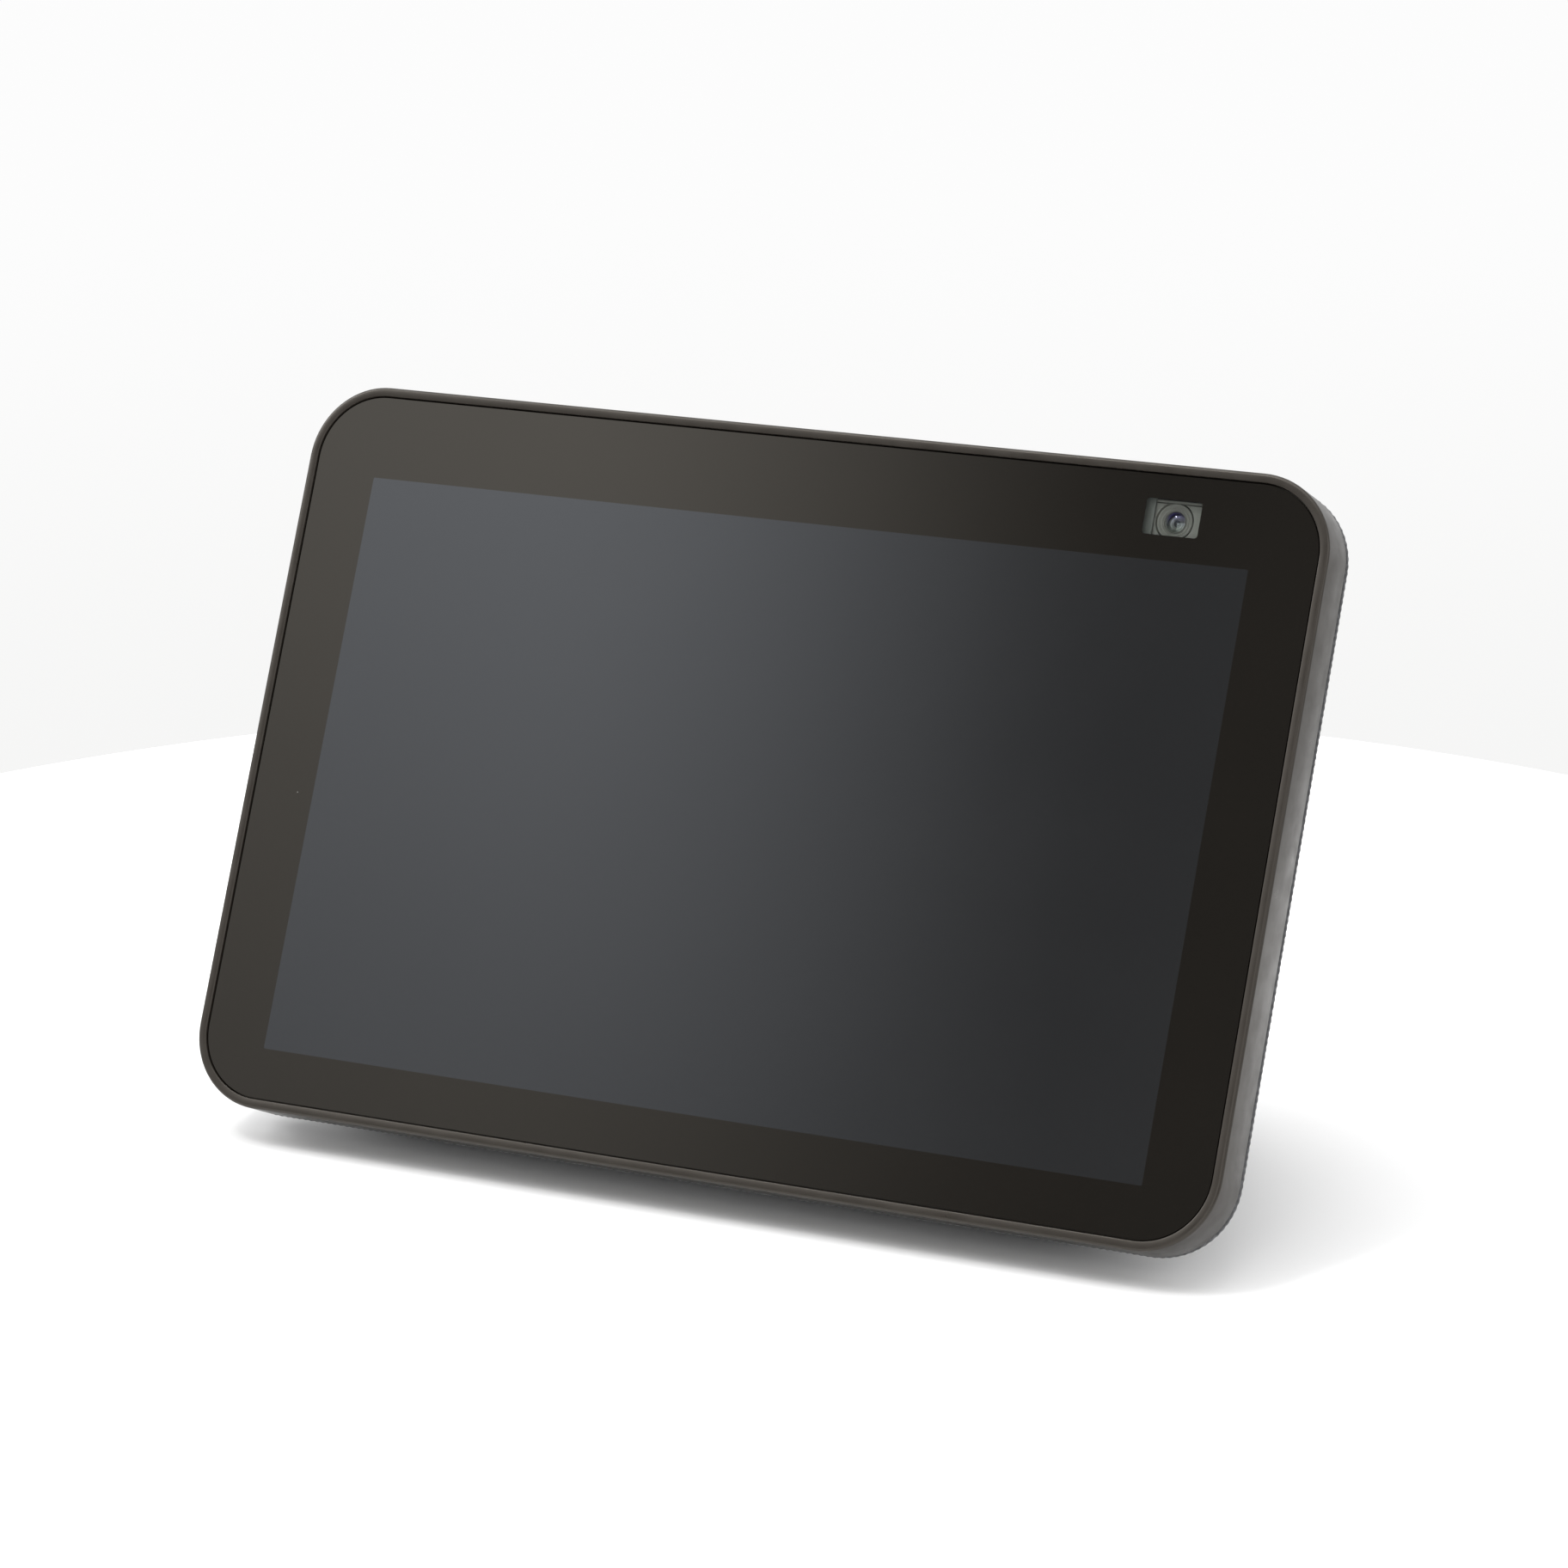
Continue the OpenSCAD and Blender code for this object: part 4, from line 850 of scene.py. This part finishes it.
def beaded(path, radius, bead):
    """A cord of stitches along a closed path of points, its radius swelling at each stitch."""
    pitch, rings_each, sides = 1.25, 4, 8
    path = np.array(path)
    loop = np.concatenate([path, path[:1]])
    length = np.concatenate([[0], np.cumsum(np.linalg.norm(np.diff(loop, axis=0), axis=1))])
    count = round(length[-1] / pitch) * rings_each
    at = np.linspace(0, length[-1], count, endpoint=False)
    line = np.stack([np.interp(at, length, loop[:, k]) for k in range(3)], 1)
    way = np.roll(line, -1, 0) - np.roll(line, 1, 0)
    way /= np.linalg.norm(way, axis=1, keepdims=True)
    plane = np.linalg.svd(path - path.mean(0))[2][2]
    side = np.cross(way, plane)
    side /= np.linalg.norm(side, axis=1, keepdims=True)
    up = np.cross(side, way)
    swell = radius + bead * np.cos(2 * np.pi * np.arange(count) / rings_each)
    turns = [2 * math.pi * k / sides for k in range(sides)]
    rings = [
        [tuple(line[i] + swell[i] * (math.cos(t) * side[i] + math.sin(t) * up[i])) for t in turns]
        for i in range(count)
    ]
    return loft(rings, wrap=True)


def make_hems():
    """The sleeve's stitched edge against the slab, and the hem under the body."""
    roll = 1.15
    lip = [(x, SLAB_T + roll, MID_Z + z)
           for x, z in rounded(SLAB_W - 2 * roll, SLAB_H - 2 * roll, SLAB_R - roll, 20)]
    foot = [(x, y, 0.35) for x, y in slice_outline(0, BASE_REACH - 1.0, 1.0, 16)]
    for name, shape, place in (("sleeve_edge", beaded(lip, roll, 0.05), SLAB),
                               ("sleeve_hem", beaded(foot, 0.55, 0.12), BODY)):
        piece(name, *shape, place, M["knit_fabric"], "chassis", "knit_fabric", 80)


def make_foot():
    """The rubber foot: a broad ring with rounded lower edges and a shallow groove."""
    profile = [(5.0, 0.0), (5.0, -1.6), (5.12, -1.88), (5.4, -2.0), (9.6, -2.0), (9.8, -1.8),
               (10.1, -1.75), (10.4, -1.8), (10.6, -2.0), (17.6, -2.0), (17.88, -1.88),
               (18.0, -1.6), (18.0, 0.0)]
    rings = []
    for inset, z in profile:
        outline = slice_outline(0, BASE_REACH - inset, inset, 16)
        rings.append([(x, y, z) for x, y in outline])
    foot = piece("foot_ring", *loft(rings, wrap=True), BODY, M["rubber"], "chassis", "rubber")
    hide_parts("rubber_foot")


def make_port_tray():
    """The oval tray round the sockets, its lip lying on the curved back."""
    heights = np.array([curve_point(t) for t in np.linspace(0.5, 1, 200)])

    def skin(z):
        """How far out the body's back is at this height."""
        return float(np.interp(z, heights[::-1, 1], heights[::-1, 0]))

    def oval(inset):
        return [(x, PORT_Z + z) for x, z in stadium(PORT_W - 2 * inset, PORT_H - 2 * inset, 14)]

    rows = [[(x, PORT_FLOOR - 1.2, z) for x, z in oval(0.0)]]
    for inset, proud in ((0.0, -2.2), (0.0, 0.15), (0.12, 0.32), (0.5, 0.34), (0.9, 0.2),
                         (1.2, -0.2)):
        rows.append([(x, skin(z) + proud, z) for x, z in oval(inset)])
    for inset, y in ((1.25, PORT_FLOOR + 0.3), (1.5, PORT_FLOOR)):
        rows.append([(x, y, z) for x, z in oval(inset)])
    tray = piece("port_tray", *loft(rows), BODY, M["socket_plastic"], "chassis", "socket_plastic")
    jack = loft(lathe([(3.4, PORT_FLOOR - 3), (3.4, PORT_FLOOR - 0.25), (3.7, PORT_FLOOR + 0.01),
                       (3.7, PORT_FLOOR + 1)], JACK_X, JACK_Z))
    usb = loft([[(USB_X + x, y, USB_Z + z)
                 for x, z in rounded(8.2 + 2 * g, 2.5 + 2 * g, 0.5 + g, 5)]
                for g, y in ((0, PORT_FLOOR - 3), (0, PORT_FLOOR - 0.2), (0.25, PORT_FLOOR + 0.01),
                             (0.25, PORT_FLOOR + 1))])
    cut(tray, *joined([jack, usb]))
    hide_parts("port_trim")


# ------------------------------------------------------------------ stage, light, camera

def make_stage():
    """A round white table top: flat, rolled over at its rim and hanging down."""
    radius, roll, drop = 0.296, 0.012, 0.30
    bend = np.linspace(0, math.pi / 2, 8)
    profile = [(r, 0.0) for r in np.linspace(0.01, radius - roll, 24)]
    profile += [(radius - roll + roll * math.sin(a), roll * math.cos(a) - roll) for a in bend[1:]]
    profile += [(radius + 0.02 * t, -roll - drop * t) for t in np.linspace(0.1, 1, 10)]
    turns = [2 * math.pi * i / 180 for i in range(180)]
    rings = [[(r * math.cos(t), r * math.sin(t), z) for t in turns] for r, z in profile]
    data = closed_mesh("table_top", *loft(rings, caps=(True, False)), unit=1)
    material, n = shader("floor_paper")
    n.set(
        Base_Color=n.ramp(n.noise(260, 3), [(0.3, (0.86, 0.86, 0.86)), (0.7, (0.9, 0.9, 0.9))]),
        Roughness=n.ranged(n.noise(60, 3), 0.8, 0.95),
        Normal=n.bump(n.noise(90, 2), 1.2, 0.25),
    )
    data.materials.append(material)
    floor = added("table_top", data)
    floor.location = (-0.012, 0.019, 0)


def make_world():
    """White studio surroundings: a bright wall at the left, a dim one behind the camera, a
    white one at the back that darkens a little towards the floor, and a bright ceiling."""
    world = bpy.data.worlds.new("studio")
    bpy.context.scene.world = world
    world.use_nodes = True
    n = Nodes(world.node_tree)
    direction = n.coord.node.outputs["Generated"]

    def along(axis):
        node = n.add("ShaderNodeVectorMath", operation="DOT_PRODUCT")
        n.link(direction, node.inputs[0])
        node.inputs[1].default_value = axis
        return node.outputs["Value"]

    def step(value, start, end):
        return n.ranged(value, 0, 1, start, end, "SMOOTHSTEP")

    height = along((0, 0, 1))
    lamp_wall = n.mixed(step(height, 0.38, 0.58), (0.9, 0.9, 0.9), (2.1, 2.1, 2.1))
    front = n.mixed(step(along((-1, 0, 0)), 0.35, 0.46), (0.28, 0.28, 0.28), lamp_wall)
    back = n.mixed(step(height, -0.28, -0.16), (0.92, 0.92, 0.915), (0.975, 0.975, 0.975))
    walls = n.mixed(step(along((0, 1, 0)), -0.35, 0.1), front, back)
    sky = n.mixed(step(height, 0.62, 0.86), walls, (1.25, 1.25, 1.25))
    background = n.tree.nodes["Background"]
    n.link(sky, background.inputs["Color"])
    background.inputs["Strength"].default_value = 1.0


def make_lights():
    """Soft lamps overhead, at both sides and low in front, and a small one for a spark."""
    for name, size, place, energy in (
        ("overhead_soft", 1.4, (-0.25, -0.15, 1.5), 11),
        ("left_soft", 0.7, (-1.2, -0.45, 1.0), 10),
        ("right_soft", 1.0, (1.5, -0.45, 0.9), 7),
        ("front_low_soft", 1.6, (0.55, -1.8, 0.5), 14),
        ("spark", 0.12, (-0.45, -0.68, 1.5), 3),
    ):
        data = bpy.data.lights.new(name, "AREA")
        data.size = size
        data.energy = energy
        lamp = added(name, data)
        lamp.location = place
        aim = Vector((0, 0, 0.05)) - lamp.location
        lamp.rotation_euler = aim.to_track_quat("-Z", "Y").to_euler()


def make_view():
    """The viewpoint: to the right, a little above, with a long lens."""
    down, turned = math.radians(15.79), math.radians(25.14)
    data = bpy.data.cameras.new("view")
    data.sensor_width = 36
    data.lens = 123.76
    data.clip_start, data.clip_end = 0.05, 50
    camera = added("view", data)
    lit_area_middle = SLAB @ Vector((0, GLASS_SET * MM, ACTIVE_Z * MM))
    camera.location = lit_area_middle + Vector((0.3974, -0.8289, 0.2659))
    camera.rotation_euler = (math.pi / 2 - down, 0, turned)
    bpy.context.scene.camera = camera
    bpy.context.scene.view_settings.view_transform = "Standard"


def finish_cad_nodes():
    """Gives every CAD node that still shows the procedural finish of its slot. The guide
    seen in the camera window has the shroud's colour."""
    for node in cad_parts.values():
        for place in node.material_slots:
            slot = place.material.name.split(".")[0]
            place.material = SHROUD if node.name == "shutter_guide" else M[slot]


make_view()
make_world()
make_lights()
make_stage()
finish_cad_nodes()
make_frame()
make_glass()
make_camera_parts()
make_shutter()
make_buttons()
make_sleeve()
make_hems()
make_foot()
make_port_tray()
